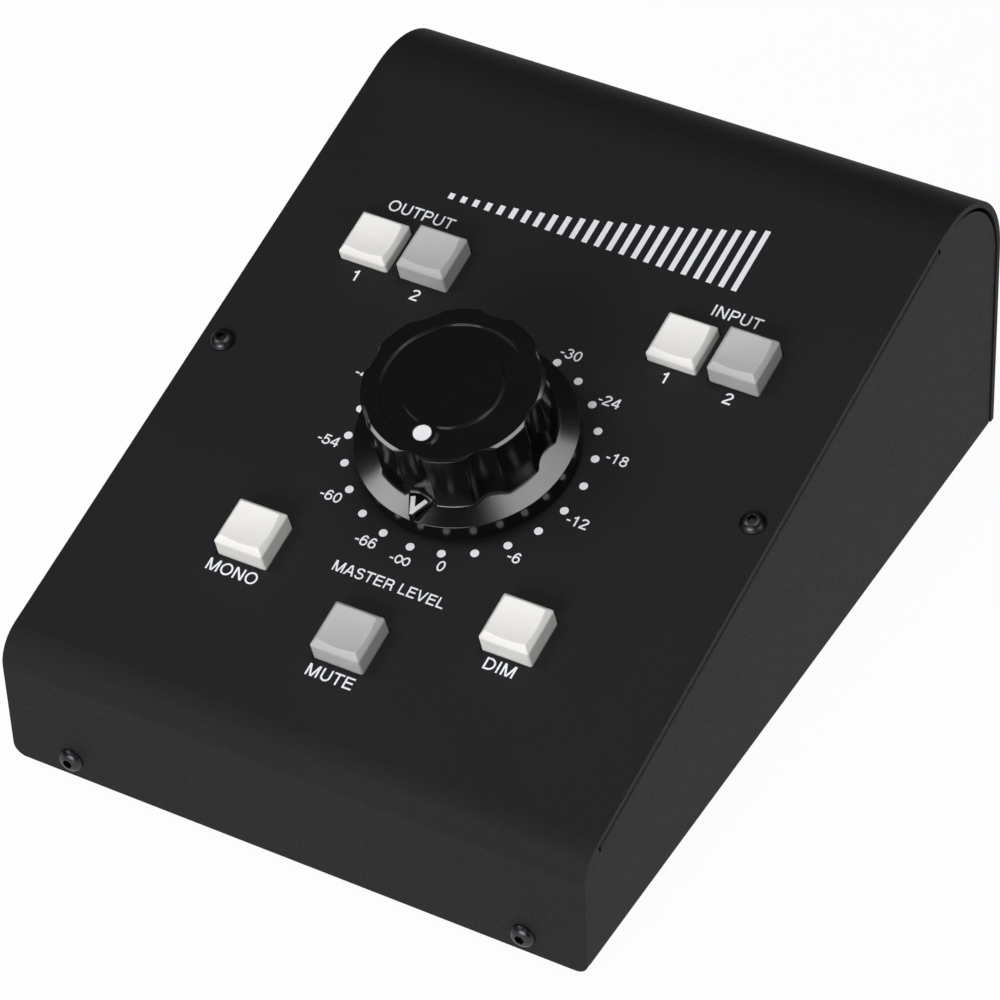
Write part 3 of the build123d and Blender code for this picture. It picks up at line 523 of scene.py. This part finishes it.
def knob_surface(sizes):
    """Rings of the knob from its bore up the inside, round the skirt, up the fluted grip and over the
    top, as distances from the axis, heights and angles. The outline of the grip bends rows into flutes,
    and eased steps raise the pointer's nose and sink the dot's pit and the channel round its pad."""
    weight, offset, rest = knob_columns()
    flat = np.ones_like(rest)
    rim, top = sizes.skirt_radius, sizes.height
    rim_low, rim_top = 1.0 * MM, 5.5 * MM
    cone_rise, cone_run = 2.4, 6.9
    slope = cone_rise / cone_run
    low_rounding, rim_rounding, bead = 0.25 * MM, 0.15 * MM, 0.45 * MM
    half_end = 0.5 * MM
    reach = half_end * math.cos(sizes.nose_flare) + sizes.nose_end * math.sin(sizes.nose_flare)

    def turned(radius):
        return POINTER_ANGLE + weight * (np.arcsin((reach + offset) / radius) - sizes.nose_flare) + rest

    # the columns' angles where the grip stands on the cone, found by going back and forth
    grip = sizes.grip_radius * flat
    for _turn in range(24):
        angle = turned(grip + bead)
        grip = grip_outline(angle, sizes.grip_radius, sizes)
    under_skirt = 21 * MM
    rows = []

    def ring(radius, height):
        rows.append((radius * flat, height * flat, turned(radius) if radius > under_skirt else angle))

    for radius, height in KNOB_INSIDE:
        ring(radius * MM, height * MM)
    # the skirt's lower edge and its upright rim
    for turn in np.radians(np.linspace(0, 90, 5)):
        ring(rim + low_rounding * (np.sin(turn) - 1), rim_low + low_rounding * (1 - np.cos(turn)))
    for height in (1.8, 2.8, 3.8, 4.8, 5.25):
        ring(rim, height * MM)
    # the rounding between rim and cone, then the cone in to the grip's foot, both with the nose on
    # top: side and front are 1 on the nose, and fall to 0 across its walls
    side = soft_step(-offset, -0.08 * MM, 0.06 * MM)

    def nosed(radius, height):
        front = soft_step(sizes.nose_end - radius, -0.06 * MM, 0.05 * MM)
        rows.append((radius, height + (sizes.nose_top - height) * side * front, turned(radius)))

    lean = math.pi / 2 - math.atan(slope)
    for turn in np.linspace(0, lean, 6):
        height = rim_top + rim_rounding * (math.sin(turn) - math.tan(lean / 2))
        nosed((rim + rim_rounding * (math.cos(turn) - 1)) * flat, height * flat)
    cone = rim - 0.1 * MM
    for share in np.concatenate([[0.004, 0.009, 0.016], np.linspace(0.03, 1, 24)]):
        radius = cone + (grip + bead - cone) * share
        nosed(radius, rim_top + (rim - radius) * slope)
    # the rounded corner where the grip stands on the cone, then the grip's wall
    foot = rim_top + (rim - grip - bead) * slope
    foot = foot + (sizes.nose_top - foot) * side
    for turn in np.radians(np.linspace(15, 90, 6)):
        rows.append((grip + bead * (1 - np.sin(turn)), foot + bead * (1 - np.cos(turn)), angle))
    # the ribs lean in on their way up, and the flutes don't
    lean_in, wall_top = 0.25 * MM, top - 0.45 * MM
    for share in np.linspace(0.08, 0.98, 11):
        leaning = grip_outline(angle, sizes.grip_radius - lean_in * share, sizes)
        rows.append((leaning, foot + bead + (wall_top - foot - bead) * share, angle))
    # the shallow bevel turns round the axis and cuts the ribs alone
    rib, bevel_start = sizes.grip_radius - lean_in, 0.1 * MM
    for height in (-0.4, -0.34, -0.31, -0.29, -0.27, -0.25, -0.21, -0.16, -0.11, -0.06, -0.03, -0.01, 0.0):
        cut = rib - sizes.bevel_width - height * MM * sizes.bevel_width / sizes.bevel_height
        bevel = soft_min(rib * flat, cut * flat, bevel_start)
        rows.append((grip_outline(angle, bevel, sizes), top + height * MM * flat, angle))
    # the flat top: rings near its edge follow the outline, and the rest are circles, close together
    # at the channel's two walls
    edge = rows[-1][0]
    for back in (0.02, 0.06, 0.15, 0.4):
        rows.append((edge - back * MM, top * flat, angle))
    outer_wall, inner_wall = np.linspace(15.6, 15.28, 11), np.linspace(11.14, 10.82, 11)
    channel, middle = np.linspace(15.2, 11.22, 50), (10.5, 8.0, 5.5, 3.0, 1.2, 0.3)
    rings = np.concatenate([(17.2, 16.3, 15.8), outer_wall, channel, inner_wall, middle])
    for radius in rings * MM:
        rows.append((radius * flat, crown_heights(radius, angle - POINTER_ANGLE, sizes), angle))
    radius, height, turn = (np.array(values) for values in zip(*rows))
    return np.stack([radius * np.cos(turn), radius * np.sin(turn), height], axis=-1)


class CONTROLLER_OT_knob(bpy.types.Operator):
    """Builds the fluted level knob and finishes the pieces that turn with it"""

    bl_idname = "controller.knob"
    bl_label = "Level knob"

    def execute(self, context):
        sizes = context.scene.controller_knob
        grid = on_panel(knob_surface(sizes) / MM)
        crown = on_panel((0.0, 0.0, sizes.height / MM))
        knob = closed_piece("level_knob", grid, on_panel((0.0, 0.0, BORE_TOP)), crown)
        gloss = plastic("knob_gloss", tuple(sizes.plastic), 0.17, 0.85, haze=0.15)
        finish_piece(knob, gloss, "black_gloss", "knob", "knob")
        dress(plastic("inlay_white", (0.84, 0.85, 0.87), 0.4, 0.4, haze=0.02), "knob_dot", "knob_pointer")
        dress(metal("turned_brass", (0.72, 0.5, 0.22), 0.3), "knob_insert")
        dress(metal("grub_oxide", (0.06, 0.06, 0.065), 0.35), "knob_grub_screw")
        turned = (0.1, 1.0, 1.0)
        dress(metal("turned_steel", (0.66, 0.66, 0.68), 0.24, 0.3 * MM, stretch=turned), "attenuator_shaft")
        dress(plastic("natural_nylon", (0.78, 0.75, 0.68), 0.45, 0.4, haze=0.05), "detent_wheel")
        dress(plastic("rotor_nylon", (0.74, 0.72, 0.66), 0.45, 0.4, haze=0.05), "rotors")
        dress(metal("spring_bronze", (0.75, 0.5, 0.3), 0.25), "wipers")
        return {"FINISHED"}


# ================================================================ caps
# a cap's underside from its stem socket outwards: half the width, the corner's radius and the height
# of each rounded square, in millimetres
SOCKET_TOP = 2.02
CAP_LOW = -3.6
CAP_INSIDE = (
    (1.0, 0.3, SOCKET_TOP), (2.02, 0.1, SOCKET_TOP), (2.02, 0.1, CAP_LOW), (3.2, 0.2, CAP_LOW),
    (3.2, 0.2, 3.1), (4.8, 0.3, 3.1), (4.8, 0.3, CAP_LOW),
)


def square_ring(half, corner):
    """A square with rounded corners as a ring of points, quarter by quarter: each quarter is half a
    side, the corner's arc and half the next side. Returns x and y of the points."""
    spread = np.linspace(0, 1, 24, endpoint=False)
    straight, arc = 0.36, 0.28
    side = np.clip(spread / straight, 0, 1)
    turn = np.clip((spread - straight) / arc, 0, 1) * math.pi / 2
    tail = np.clip((spread - straight - arc) / straight, 0, 1)
    inner = half - corner
    x = np.where(spread < straight + arc, inner + corner * np.cos(turn), (1 - tail) * inner)
    y = np.where(spread < straight, side * inner, inner + corner * np.sin(turn))
    return np.concatenate([x, -y, -x, y]), np.concatenate([y, x, -y, -x])


def cap_surface(sizes, sunk):
    """Rings of one cap, from its stem socket outwards and up over the top. Walls are rounded squares.
    The top's height is the smallest of four bevel planes and a ball-shaped dish, each corner eased."""
    half = sizes.side / 2
    draft, low_rounding, corner = 0.1 * MM, 0.15 * MM, 0.6 * MM
    neck = half - draft
    shoulder, low = sizes.shoulder, CAP_LOW * MM
    rows = []

    def ring(side, corner, height):
        x, y = square_ring(side, corner)
        rows.append(np.stack([x, y, np.full_like(x, height)], axis=-1))

    for side, rounding, height in CAP_INSIDE:
        ring(side * MM, rounding * MM, height * MM)
    # the lower edge, then the wall up to the shoulder
    for turn in np.radians(np.linspace(0, 90, 4)):
        ring(half + low_rounding * (np.sin(turn) - 1), corner, low + low_rounding * (1 - np.cos(turn)))
    for share in np.linspace(0.1, 0.94, 6):
        ring(half + (neck - half) * share, corner, low + (shoulder - low) * share)
    # the top is a height over shrinking rounded squares, and the shoulder's rounding dies away inwards
    bevel_run, bevel_rise = 1.3, 1.6
    run, bevel_rounding, bevel_lift = bevel_run / bevel_rise, 0.35 * MM, 0.09 * MM
    dish_inset, dish_rounding = 1.4 * MM, 0.3 * MM
    shoulder_rounding = 0.16 * MM
    dish_centre = shoulder + sizes.bevel + np.sqrt(sizes.dish**2 - 2 * (half - dish_inset) ** 2)
    inset = np.linspace(0.0, 0.5, 8), np.linspace(0.6, 2.4, 19), np.linspace(2.8, 5.6, 10)
    for back in np.concatenate(inset) * MM:
        side = neck - back
        x, y = square_ring(side, min(corner + 0.25 * back, 0.8 * side))
        bevel = soft_min((neck - np.abs(x)) / run, (neck - np.abs(y)) / run, bevel_rounding) + bevel_lift
        dish = dish_centre - np.sqrt(sizes.dish**2 - x**2 - y**2) - shoulder
        height = soft_min(bevel, dish, dish_rounding)
        eased = height - shoulder_rounding * np.exp(-back / shoulder_rounding)
        rows.append(np.stack([x, y, shoulder + eased], axis=-1))
    grid = np.array(rows)
    grid[..., 2] -= sunk
    return grid, dish_centre - sizes.dish - sunk


def coil_surface(u, v, foot, length):
    """Round wire wound into a spring, in panel millimetres: circles of the wire's radius, square to a
    helix that rises evenly from the spring's foot. Also gives the middle of each end."""
    wire, radius, turns = 0.2, 2.0, 3.5
    turn = np.linspace(0, turns * math.tau, 113)[:, None]
    around = np.linspace(0, math.tau, 8, endpoint=False)[None, :]
    climb = (length - 2 * wire) / (turns * math.tau)
    tilt = wire * np.sin(around) / math.hypot(radius, climb)
    out = radius + wire * np.cos(around)
    x = u + out * np.cos(turn) - climb * tilt * np.sin(turn)
    y = v + out * np.sin(turn) + climb * tilt * np.cos(turn)
    z = foot + wire + climb * turn - radius * tilt
    coil = np.stack([x, y, z], axis=-1)
    return coil, coil[0].mean(axis=0), coil[-1].mean(axis=0)


class CONTROLLER_OT_caps(bpy.types.Operator):
    """Builds the push-button caps and their return springs, and finishes the plungers"""

    bl_idname = "controller.caps"
    bl_label = "Button caps"

    def execute(self, context):
        sizes = context.scene.controller_caps
        looks = {
            "ivory": plastic("cap_ivory", tuple(sizes.ivory), 0.42, 0.4, haze=0.015, grain=0.006 * MM),
            "grey": plastic("cap_grey", tuple(sizes.grey), 0.42, 0.4, haze=0.02, grain=0.006 * MM),
        }
        nylon = plastic("plunger_nylon", (0.7, 0.7, 0.68), 0.5, 0.4)
        wire = metal("spring_wire", (0.6, 0.6, 0.63), 0.25, size=0.2 * MM)
        for name, (u, v, colour) in BUTTONS.items():
            sunk = sizes.latch if name in LATCHED else 0.0
            grid, top = cap_surface(sizes, sunk)
            socket = on_panel((u, v, SOCKET_TOP - sunk / MM))
            middle = on_panel((u, v, top / MM))
            cap = closed_piece(f"keycap_{name}", on_panel(grid / MM + (u, v, 0.0)), socket, middle)
            finish_piece(cap, looks[colour], f"{colour}_plastic", f"button_{name}", f"cap_{name}")
            dress(nylon, f"plunger_{name}")
            self.spring(name, u, v, sizes, sunk, wire)
        return {"FINISHED"}

    def spring(self, name, u, v, sizes, sunk, wire):
        """One return spring between case and button, built shorter by as much as its button is latched in."""
        foot, length = -sizes.spring_seat / MM, (sizes.spring_length - sunk) / MM
        coil, low, high = coil_surface(u, v, foot, length)
        piece = closed_piece(f"return_spring_{name}", on_panel(coil), on_panel(low), on_panel(high))
        piece.data.materials.append(wire)
        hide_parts(f"spring_{name}")
        if name in LATCHED:
            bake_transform(piece)
        else:
            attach(piece, "case")
            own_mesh(piece)


# ================================================================ print
# advance width of each character, on capitals of height 1
ADVANCES = {
    **dict.fromkeys("01234568", 0.774),
    **dict.fromkeys("AEPSV", 0.929),
    **dict.fromkeys("DNRU", 1.006),
    **{" ": 0.387, "-": 0.464, "∞": 1.44, "I": 0.387, "L": 0.774, "M": 1.16, "O": 1.083, "T": 0.851},
}


def arc(centre, radii, start, stop, count=25):
    """Points of an elliptical arc from start to stop, in degrees."""
    turn = np.radians(np.linspace(start, stop, count))
    return np.stack([centre[0] + radii[0] * np.cos(turn), centre[1] + radii[1] * np.sin(turn)], axis=-1)


def stroke(*parts, weight, closed=False):
    """Both edges of a stroke along points and arcs: each point moved sideways by half the weight, along
    (n1 + n2) / (1 + n1.n2) of its two sides' unit normals, which mitres the corners."""
    line = np.concatenate([np.atleast_2d(part) for part in parts])
    after = np.diff(line, axis=0, append=line[:1] if closed else line[-1:])
    if not closed:
        after[-1] = after[-2]
    after /= np.linalg.norm(after, axis=1)[:, None]
    before = np.roll(after, 1, axis=0)
    if not closed:
        before[0] = after[0]
    turned = np.array([[0.0, 1.0], [-1.0, 0.0]])
    n1, n2 = before @ turned, after @ turned
    shift = (n1 + n2) / (1 + (n1 * n2).sum(axis=1))[:, None] * weight / 2
    return line + shift, line - shift, closed


def slab(foot, head, weight):
    """Both edges of a slanting stroke from y = 0 to y = 1 whose two ends are cut level."""
    wide = weight * math.hypot(1.0, head - foot) / 2
    line = np.array([[foot, 0.0], [head, 1.0]])
    shift = np.array([wide, 0.0])
    return line - shift, line + shift, False


def alphabet(weight):
    """Strokes of plain sans-serif characters on capitals of height 1. Stems and bars are straight lines
    half a stroke inside the outline, and bowls are elliptical arcs."""
    half = weight / 2
    high, low, dip = 1 - half, half, half - 0.025

    def line(*parts, closed=False):
        return stroke(*parts, weight=weight, closed=closed)

    def stem(x, top=1):
        return line((x, 0), (x, top))

    def bar(y, start, stop):
        return line((start, y), (stop, y))

    def loop(x, y, wide, tall):
        return line(arc((x, y), (wide, tall), 0, 352.5, 48), closed=True)

    turn = np.radians(np.linspace(0, 354, 60))
    across = 0.72 + 0.5546 * np.sin(turn) - 0.0454 * np.sin(3 * turn)
    eight = np.stack([across, 0.47 + 0.35 * np.sin(2 * turn)], axis=-1)
    two = arc((0.37, 0.7), (0.33 - half, 0.28 - half), 172, -35)
    bowl_d = arc((0.46, 0.5), (0.479 - half, high - 0.5), 90, -90)
    bowl_p = arc((0.58, 0.7), (0.286 - half, high - 0.7), 90, -90)
    bowl_r = arc((0.61, 0.705), (0.28 - half, high - 0.705), 90, -90)
    upper_s = arc((0.46, 0.745), (0.36 - half, 0.28 - half), 15, 262)
    lower_s = arc((0.468, 0.29), (0.395 - half, 0.245), 82, -168)
    bowl_u = arc((0.5035, 0.36), (0.3935 - half, 0.36 - dip), 180, 360)
    waist_p, waist_r = 1.4 - high, 1.41 - high
    left_d, left_e, left_n = 0.113 + half, 0.12 + half, 0.106 + half
    left_r, left_u, right_u = 0.122 + half, 0.11 + half, 0.897 - half
    return {
        " ": [],
        "-": [bar(0.385, 0.06, 0.4)],
        "∞": [line(eight, closed=True)],
        "0": [loop(0.387, 0.477, 0.336 - half, 0.502 - half)],
        "1": [stem(0.5 - half, 0.98), line((0.13, 0.75), (0.27, 0.765), (0.36, 0.83), (0.41, 0.96))],
        "2": [line(two, (0.3, 0.32), (0.16, 0.19), (0.125, low), (0.7, low))],
        "3": [
            line(arc((0.375, 0.713), (0.305 - half, 0.193), 168, -90)),
            line(arc((0.378, 0.283), (0.345 - half, 0.237), 90, -170)),
        ],
        "4": [stem(0.55, 0.98), bar(0.28, 0.04, 0.73), line((0.53, 0.93), (0.09, 0.3))],
        "5": [
            line((0.665, 0.96 - half), (0.22, 0.96 - half), (0.16, 0.43)),
            line(arc((0.365, 0.316), (0.35 - half, 0.27), 142, -168)),
        ],
        "6": [
            loop(0.39, 0.305, 0.332 - half, 0.305 - dip),
            line(arc((0.4, 0.44), (0.345 - half, 0.54 - half), 42, 190)),
        ],
        "8": [loop(0.387, 0.73, 0.3 - half, 0.25 - half), loop(0.387, 0.29, 0.335 - half, 0.29 - dip)],
        "A": [slab(0.1, 0.442, weight), slab(0.83, 0.488, weight), bar(0.33, 0.22, 0.71)],
        "D": [line((left_d, low), (left_d, high), (0.4, high), bowl_d, (0.4, low), closed=True)],
        "E": [line((0.84, high), (left_e, high), (left_e, low), (0.858, low)), bar(0.53, left_e, 0.8)],
        "I": [stem(0.194)],
        "L": [line((left_n, 1), (left_n, low), (0.748, low))],
        "M": [stem(0.1 + half), stem(1.06 - half), slab(0.555, 0.2, weight), slab(0.605, 0.96, weight)],
        "N": [stem(left_n), stem(0.9 - half), slab(0.8, 0.206, weight)],
        "O": [loop(0.5415, 0.5, 0.4875 - half, 0.5 - dip)],
        "P": [line((left_e, 0), (left_e, high), (0.55, high), bowl_p, (0.55, waist_p), (left_e, waist_p))],
        "R": [
            line((left_r, 0), (left_r, high), (0.58, high), bowl_r, (0.58, waist_r), (left_r, waist_r)),
            line(arc((0.62, 0.3), (0.2, 0.18), 90, 0, 10), (0.83, 0.12), (0.875, 0)),
        ],
        "S": [line(upper_s, lower_s)],
        "T": [bar(high, 0.02, 0.83), stem(0.425, high)],
        "U": [line((left_u, 1), (left_u, 0.42), bowl_u, (right_u, 0.42), (right_u, 1))],
        "V": [slab(0.442, 0.108, weight), slab(0.488, 0.822, weight)],
    }


def ink_band(left, right, closed, high, low):
    """A thin solid ribbon between two edges on the panel: four rails, and quads between neighbours."""
    rails = [(left, high), (left, low), (right, low), (right, high)]
    points = np.stack([np.column_stack([edge, np.full(len(edge), lift)]) for edge, lift in rails], axis=1)
    count = len(left)
    faces = (turned_faces(count + closed, 4)[:, ::-1] % (4 * count)).tolist()
    if not closed:
        faces += [[0, 1, 2, 3], [4 * count - 1, 4 * count - 2, 4 * count - 3, 4 * count - 4]]
    return points.reshape(-1, 3), faces


def lettering(text, centre, height, width, weight, thickness):
    """Ribbons of one line of text, centred on a place on the panel. Its drawn width is scaled to width,
    or kept where that is 0. Each stroke stands a hair above the one before, so none lie in one plane."""
    characters = alphabet(weight)
    edges, cursor = [], 0.0
    for character in text:
        for left, right, closed in characters[character]:
            edges.append((left + [cursor, 0], right + [cursor, 0], closed))
        cursor += ADVANCES[character]
    every = np.concatenate([np.concatenate([left, right]) for left, right, _closed in edges])
    start, stop = every[:, 0].min(), every[:, 0].max()
    scale = np.array([width / (stop - start) if width else height, height])
    middle = np.array([(start + stop) / 2, 0.5])
    hair, levels = 0.03, 5
    bands = []
    for place, (left, right, closed) in enumerate(edges):
        left, right = centre + (left - middle) * scale, centre + (right - middle) * scale
        high = thickness * (1 + hair * (place % levels))
        bands.append(ink_band(left, right, closed, high, -thickness / 3))
    return bands


def round_dot(centre, radius, thickness):
    """A flat disc of ink with a slightly rounded edge: three rings of points and two end faces."""
    count = 32
    turn = np.linspace(0, math.tau, count, endpoint=False)
    circle = radius * np.column_stack([np.cos(turn), np.sin(turn)])
    profile = ((1.0, -thickness / 3), (1.0, 0.7 * thickness), (0.96, thickness))
    rings = [np.column_stack([centre + share * circle, np.full(count, lift)]) for share, lift in profile]
    ends = [list(range(count))[::-1], list(range(2 * count, 3 * count))]
    return np.concatenate(rings), turned_faces(3, count).tolist() + ends


def print_look(context):
    """The print's sizes, its ink, and the ink's thickness in millimetres."""
    sizes = context.scene.controller_print
    return sizes, ink(tuple(sizes.ink)), sizes.thickness / MM


def print_piece(name, bands, material):
    """One piece of print on the case from many thin solids: their points and faces one after another."""
    points, faces, start = [], [], 0
    for vertices, polygons in bands:
        points.append(vertices)
        faces += [[start + index for index in polygon] for polygon in polygons]
        start += len(vertices)
    piece = make_object(name, on_panel(np.concatenate(points)), faces, smooth=False)
    finish_piece(piece, material, "white_plastic", "case")


class CONTROLLER_OT_scale(bpy.types.Operator):
    """Prints the ring of dots and the numbers round the dial"""

    bl_idname = "controller.scale"
    bl_label = "Dial print"

    def execute(self, context):
        sizes, white, thick = print_look(context)
        dots, step = [], 15
        for angle in np.radians(np.arange(0, 360, step)):
            centre = sizes.dot_circle / MM * np.array([math.cos(angle), math.sin(angle)])
            dots.append(round_dot(centre, sizes.dot_radius / MM, thick))
        print_piece("scale_dots", dots, white)
        numbers = []
        for text, u, v in LEVELS:
            numbers += lettering(text, (u, v), sizes.number_height / MM, 0.0, sizes.stroke, thick)
        print_piece("scale_numbers", numbers, white)
        return {"FINISHED"}


class CONTROLLER_OT_labels(bpy.types.Operator):
    """Prints the words and numbers that say what each button does"""

    bl_idname = "controller.labels"
    bl_label = "Function labels"

    def execute(self, context):
        sizes, white, thick = print_look(context)
        for text, u, v, width, height in LABELS:
            letters = lettering(text, (u, v), height, width, sizes.stroke, thick)
            print_piece("label_" + text.lower().replace(" ", "_"), letters, white)
        digits, digit_height = [], 2.95
        for text, u, v in CHANNELS:
            digits += lettering(text, (u, v), digit_height, 0.0, sizes.stroke, thick)
        print_piece("channel_numbers", digits, white)
        return {"FINISHED"}


class CONTROLLER_OT_ramp(bpy.types.Operator):
    """Prints a plain row of rising bars behind the dial"""

    bl_idname = "controller.ramp"
    bl_label = "Level bars"

    def execute(self, context):
        _sizes, white, thick = print_look(context)
        count, middle, width, low, bar_width = 24, -1.0, 70.0, 57.0, 1.3
        shortest, rise, curve = 1.6, 15.5, 1.6
        bars = []
        for share in np.linspace(0, 1, count):
            u = middle + width * (share - 0.5)
            path = stroke((u, low), (u, low + shortest + rise * share**curve), weight=bar_width)
            bars.append(ink_band(*path, thick, -thick / 3))
        print_piece("level_bars", bars, white)
        return {"FINISHED"}


# ================================================================ inner pieces and the rear
class CONTROLLER_OT_insides(bpy.types.Operator):
    """Finishes the attenuator, the switches, the boards and the rear jacks"""

    bl_idname = "controller.insides"
    bl_label = "Inner pieces and jacks"

    def execute(self, context):
        nickel = metal("bright_nickel", (0.74, 0.72, 0.68), 0.18, size=0.5 * MM)
        dress(nickel, "attenuator_nut", "attenuator_washer", "detent_balls", "jack_sleeves", "jack_nuts")
        zinc = metal("zinc_screws", (0.62, 0.63, 0.66), 0.28)
        dress(zinc, "attenuator_tie_screws", "attenuator_plate", "board_screws", "detent_springs")
        cast = metal("die_cast", (0.52, 0.52, 0.54), 0.45, size=0.8 * MM, depth=0.02 * MM)
        dress(cast, "attenuator_drum")
        tin = metal("tin_plate", (0.68, 0.68, 0.67), 0.32)
        dress(tin, "switch_lids", "switch_terminals", "jack_terminals", "attenuator_spacers")
        brass = metal("brass_parts", (0.72, 0.52, 0.25), 0.28)
        dress(brass, "wafer_contacts", "board_standoffs")
        black = plastic("black_nylon", (0.014, 0.014, 0.015), 0.42, 0.4, haze=0.1, grain=0.01 * MM)
        dress(black, "switch_housings", "jack_bodies", "ribbon_connectors")
        resin = plastic("resistor_body", (0.1, 0.14, 0.24), 0.5, 0.4, haze=0.08)
        dress(resin, "step_resistors", "pad_resistors")
        dress(laminate("board_mask", (0.02, 0.12, 0.05), lines=1.7), "control_board", "jack_board")
        dress(laminate("wafer_laminate", (0.3, 0.16, 0.06), lines=0.85), "wafers")
        dress(flat_cable((0.42, 0.42, 0.44)), "ribbon_cable")
        return {"FINISHED"}


# ================================================================ stage
def lamp(name, azimuth, elevation, distance, size, power):
    """Soft rectangular lamp that faces the object from an azimuth, 0 in front and rising to the right."""
    light = bpy.data.lights.new(name, "AREA")
    light.shape = "RECTANGLE"
    light.size, light.size_y = size
    light.energy = power
    holder = bpy.data.objects.new(name, light)
    turn, rise = math.radians(azimuth), math.radians(elevation)
    middle = Vector((0.0, 0.0, 0.04))
    away = Vector((math.sin(turn) * math.cos(rise), -math.cos(turn) * math.cos(rise), math.sin(rise)))
    holder.location = middle + away * distance
    holder.rotation_euler = away.to_track_quat("Z", "Y").to_euler()
    bpy.context.scene.collection.objects.link(holder)


def floor_finish():
    """White floor: mostly plain white to the camera and in reflections, and part lit, for the shadow."""
    plain_share = 0.96
    floor = Finish("floor_white", shader="MixShader")
    path = floor.add("LightPath")
    seen = path.outputs["Is Camera Ray"]
    for ray in ("Is Glossy Ray", "Is Transmission Ray"):
        either = floor.add("Math")
        either.operation = "MAXIMUM"
        floor.link(seen, either, 0)
        floor.link(path.outputs[ray], either, 1)
        seen = either.outputs[0]
    share = floor.add("Math", {1: plain_share})
    share.operation = "MULTIPLY"
    floor.link(seen, share, 0)
    lit = floor.add("BsdfDiffuse", {"Color": (0.95, 0.95, 0.95, 1.0)})
    plain = floor.add("Emission", {"Color": (1.0, 1.0, 1.0, 1.0)})
    for entry, source in enumerate((share, lit, plain)):
        floor.link(source.outputs[0], floor.shader, entry)
    return floor.material


class CONTROLLER_OT_stage(bpy.types.Operator):
    """Sets the floor, the room, the lamps and the camera"""

    bl_idname = "controller.stage"
    bl_label = "Stage"

    def execute(self, context):
        scene = context.scene
        sizes = scene.controller_stage
        scene.view_settings.view_transform = "Standard"
        half = sizes.floor_size / 2
        corners = np.array([[-half, -half, 0.0], [half, -half, 0.0], [half, half, 0.0], [-half, half, 0.0]])
        floor = make_object("floor", corners, [[0, 1, 2, 3]], smooth=False)
        floor.data.materials.append(floor_finish())
        world = bpy.data.worlds.new("room")
        world.use_nodes = True
        sky = world.node_tree.nodes["Background"]
        sky.inputs["Color"].default_value = (1.0, 1.0, 1.0, 1.0)
        sky.inputs["Strength"].default_value = sizes.world_level
        scene.world = world
        # azimuth and elevation in degrees, then distance and size in metres
        lamp("overhead_lamp", 104, 84, 1.1, (0.68, 0.45), sizes.overhead_power)
        lamp("left_lamp", -60, 50, 1.1, (0.4, 0.35), sizes.left_power)
        lamp("right_lamp", 78, 22, 1.2, (0.5, 0.3), sizes.right_power)
        lamp("front_lamp", 0, 20, 1.4, (0.8, 0.45), sizes.front_power)
        camera = bpy.data.cameras.new("camera")
        camera.lens, camera.sensor_width = 178.7, 36.0
        camera.clip_end = 20.0
        holder = bpy.data.objects.new("camera", camera)
        holder.matrix_world = Matrix(CAMERA_PLACE)
        scene.collection.objects.link(holder)
        scene.camera = holder
        return {"FINISHED"}


class CONTROLLER_PT_build(bpy.types.Panel):
    """Lists the pieces and their sizes"""

    bl_label = "Monitor Controller"
    bl_idname = "CONTROLLER_PT_build"
    bl_space_type = "VIEW_3D"
    bl_region_type = "UI"
    bl_category = "Controller"

    def draw(self, context):
        for operator in BUILD_ORDER:
            self.layout.operator(operator.bl_idname)
        for _group, attribute in GROUPS:
            sizes = getattr(context.scene, attribute)
            box = self.layout.box()
            for name in sizes.bl_rna.properties.keys():
                if name not in ("rna_type", "name"):
                    box.prop(sizes, name)


GROUPS = (
    (CaseFinish, "controller_case"),
    (KnobSizes, "controller_knob"),
    (CapSizes, "controller_caps"),
    (PrintSizes, "controller_print"),
    (StageSizes, "controller_stage"),
)
BUILD_ORDER = (
    CONTROLLER_OT_case,
    CONTROLLER_OT_knob,
    CONTROLLER_OT_caps,
    CONTROLLER_OT_scale,
    CONTROLLER_OT_labels,
    CONTROLLER_OT_ramp,
    CONTROLLER_OT_insides,
    CONTROLLER_OT_stage,
)


def register():
    """Registers the property groups, the operators and the panel."""
    for group, attribute in GROUPS:
        bpy.utils.register_class(group)
        setattr(bpy.types.Scene, attribute, PointerProperty(type=group))
    for operator in BUILD_ORDER:
        bpy.utils.register_class(operator)
    bpy.utils.register_class(CONTROLLER_PT_build)


def unregister():
    """Takes away what register added."""
    bpy.utils.unregister_class(CONTROLLER_PT_build)
    for operator in reversed(BUILD_ORDER):
        bpy.utils.unregister_class(operator)
    for group, attribute in reversed(GROUPS):
        delattr(bpy.types.Scene, attribute)
        bpy.utils.unregister_class(group)


def main():
    """Builds everything in order."""
    register()
    bpy.ops.controller.case()
    bpy.ops.controller.knob()
    bpy.ops.controller.caps()
    bpy.ops.controller.scale()
    bpy.ops.controller.labels()
    bpy.ops.controller.ramp()
    bpy.ops.controller.insides()
    bpy.ops.controller.stage()


if __name__ == "__main__":
    main()
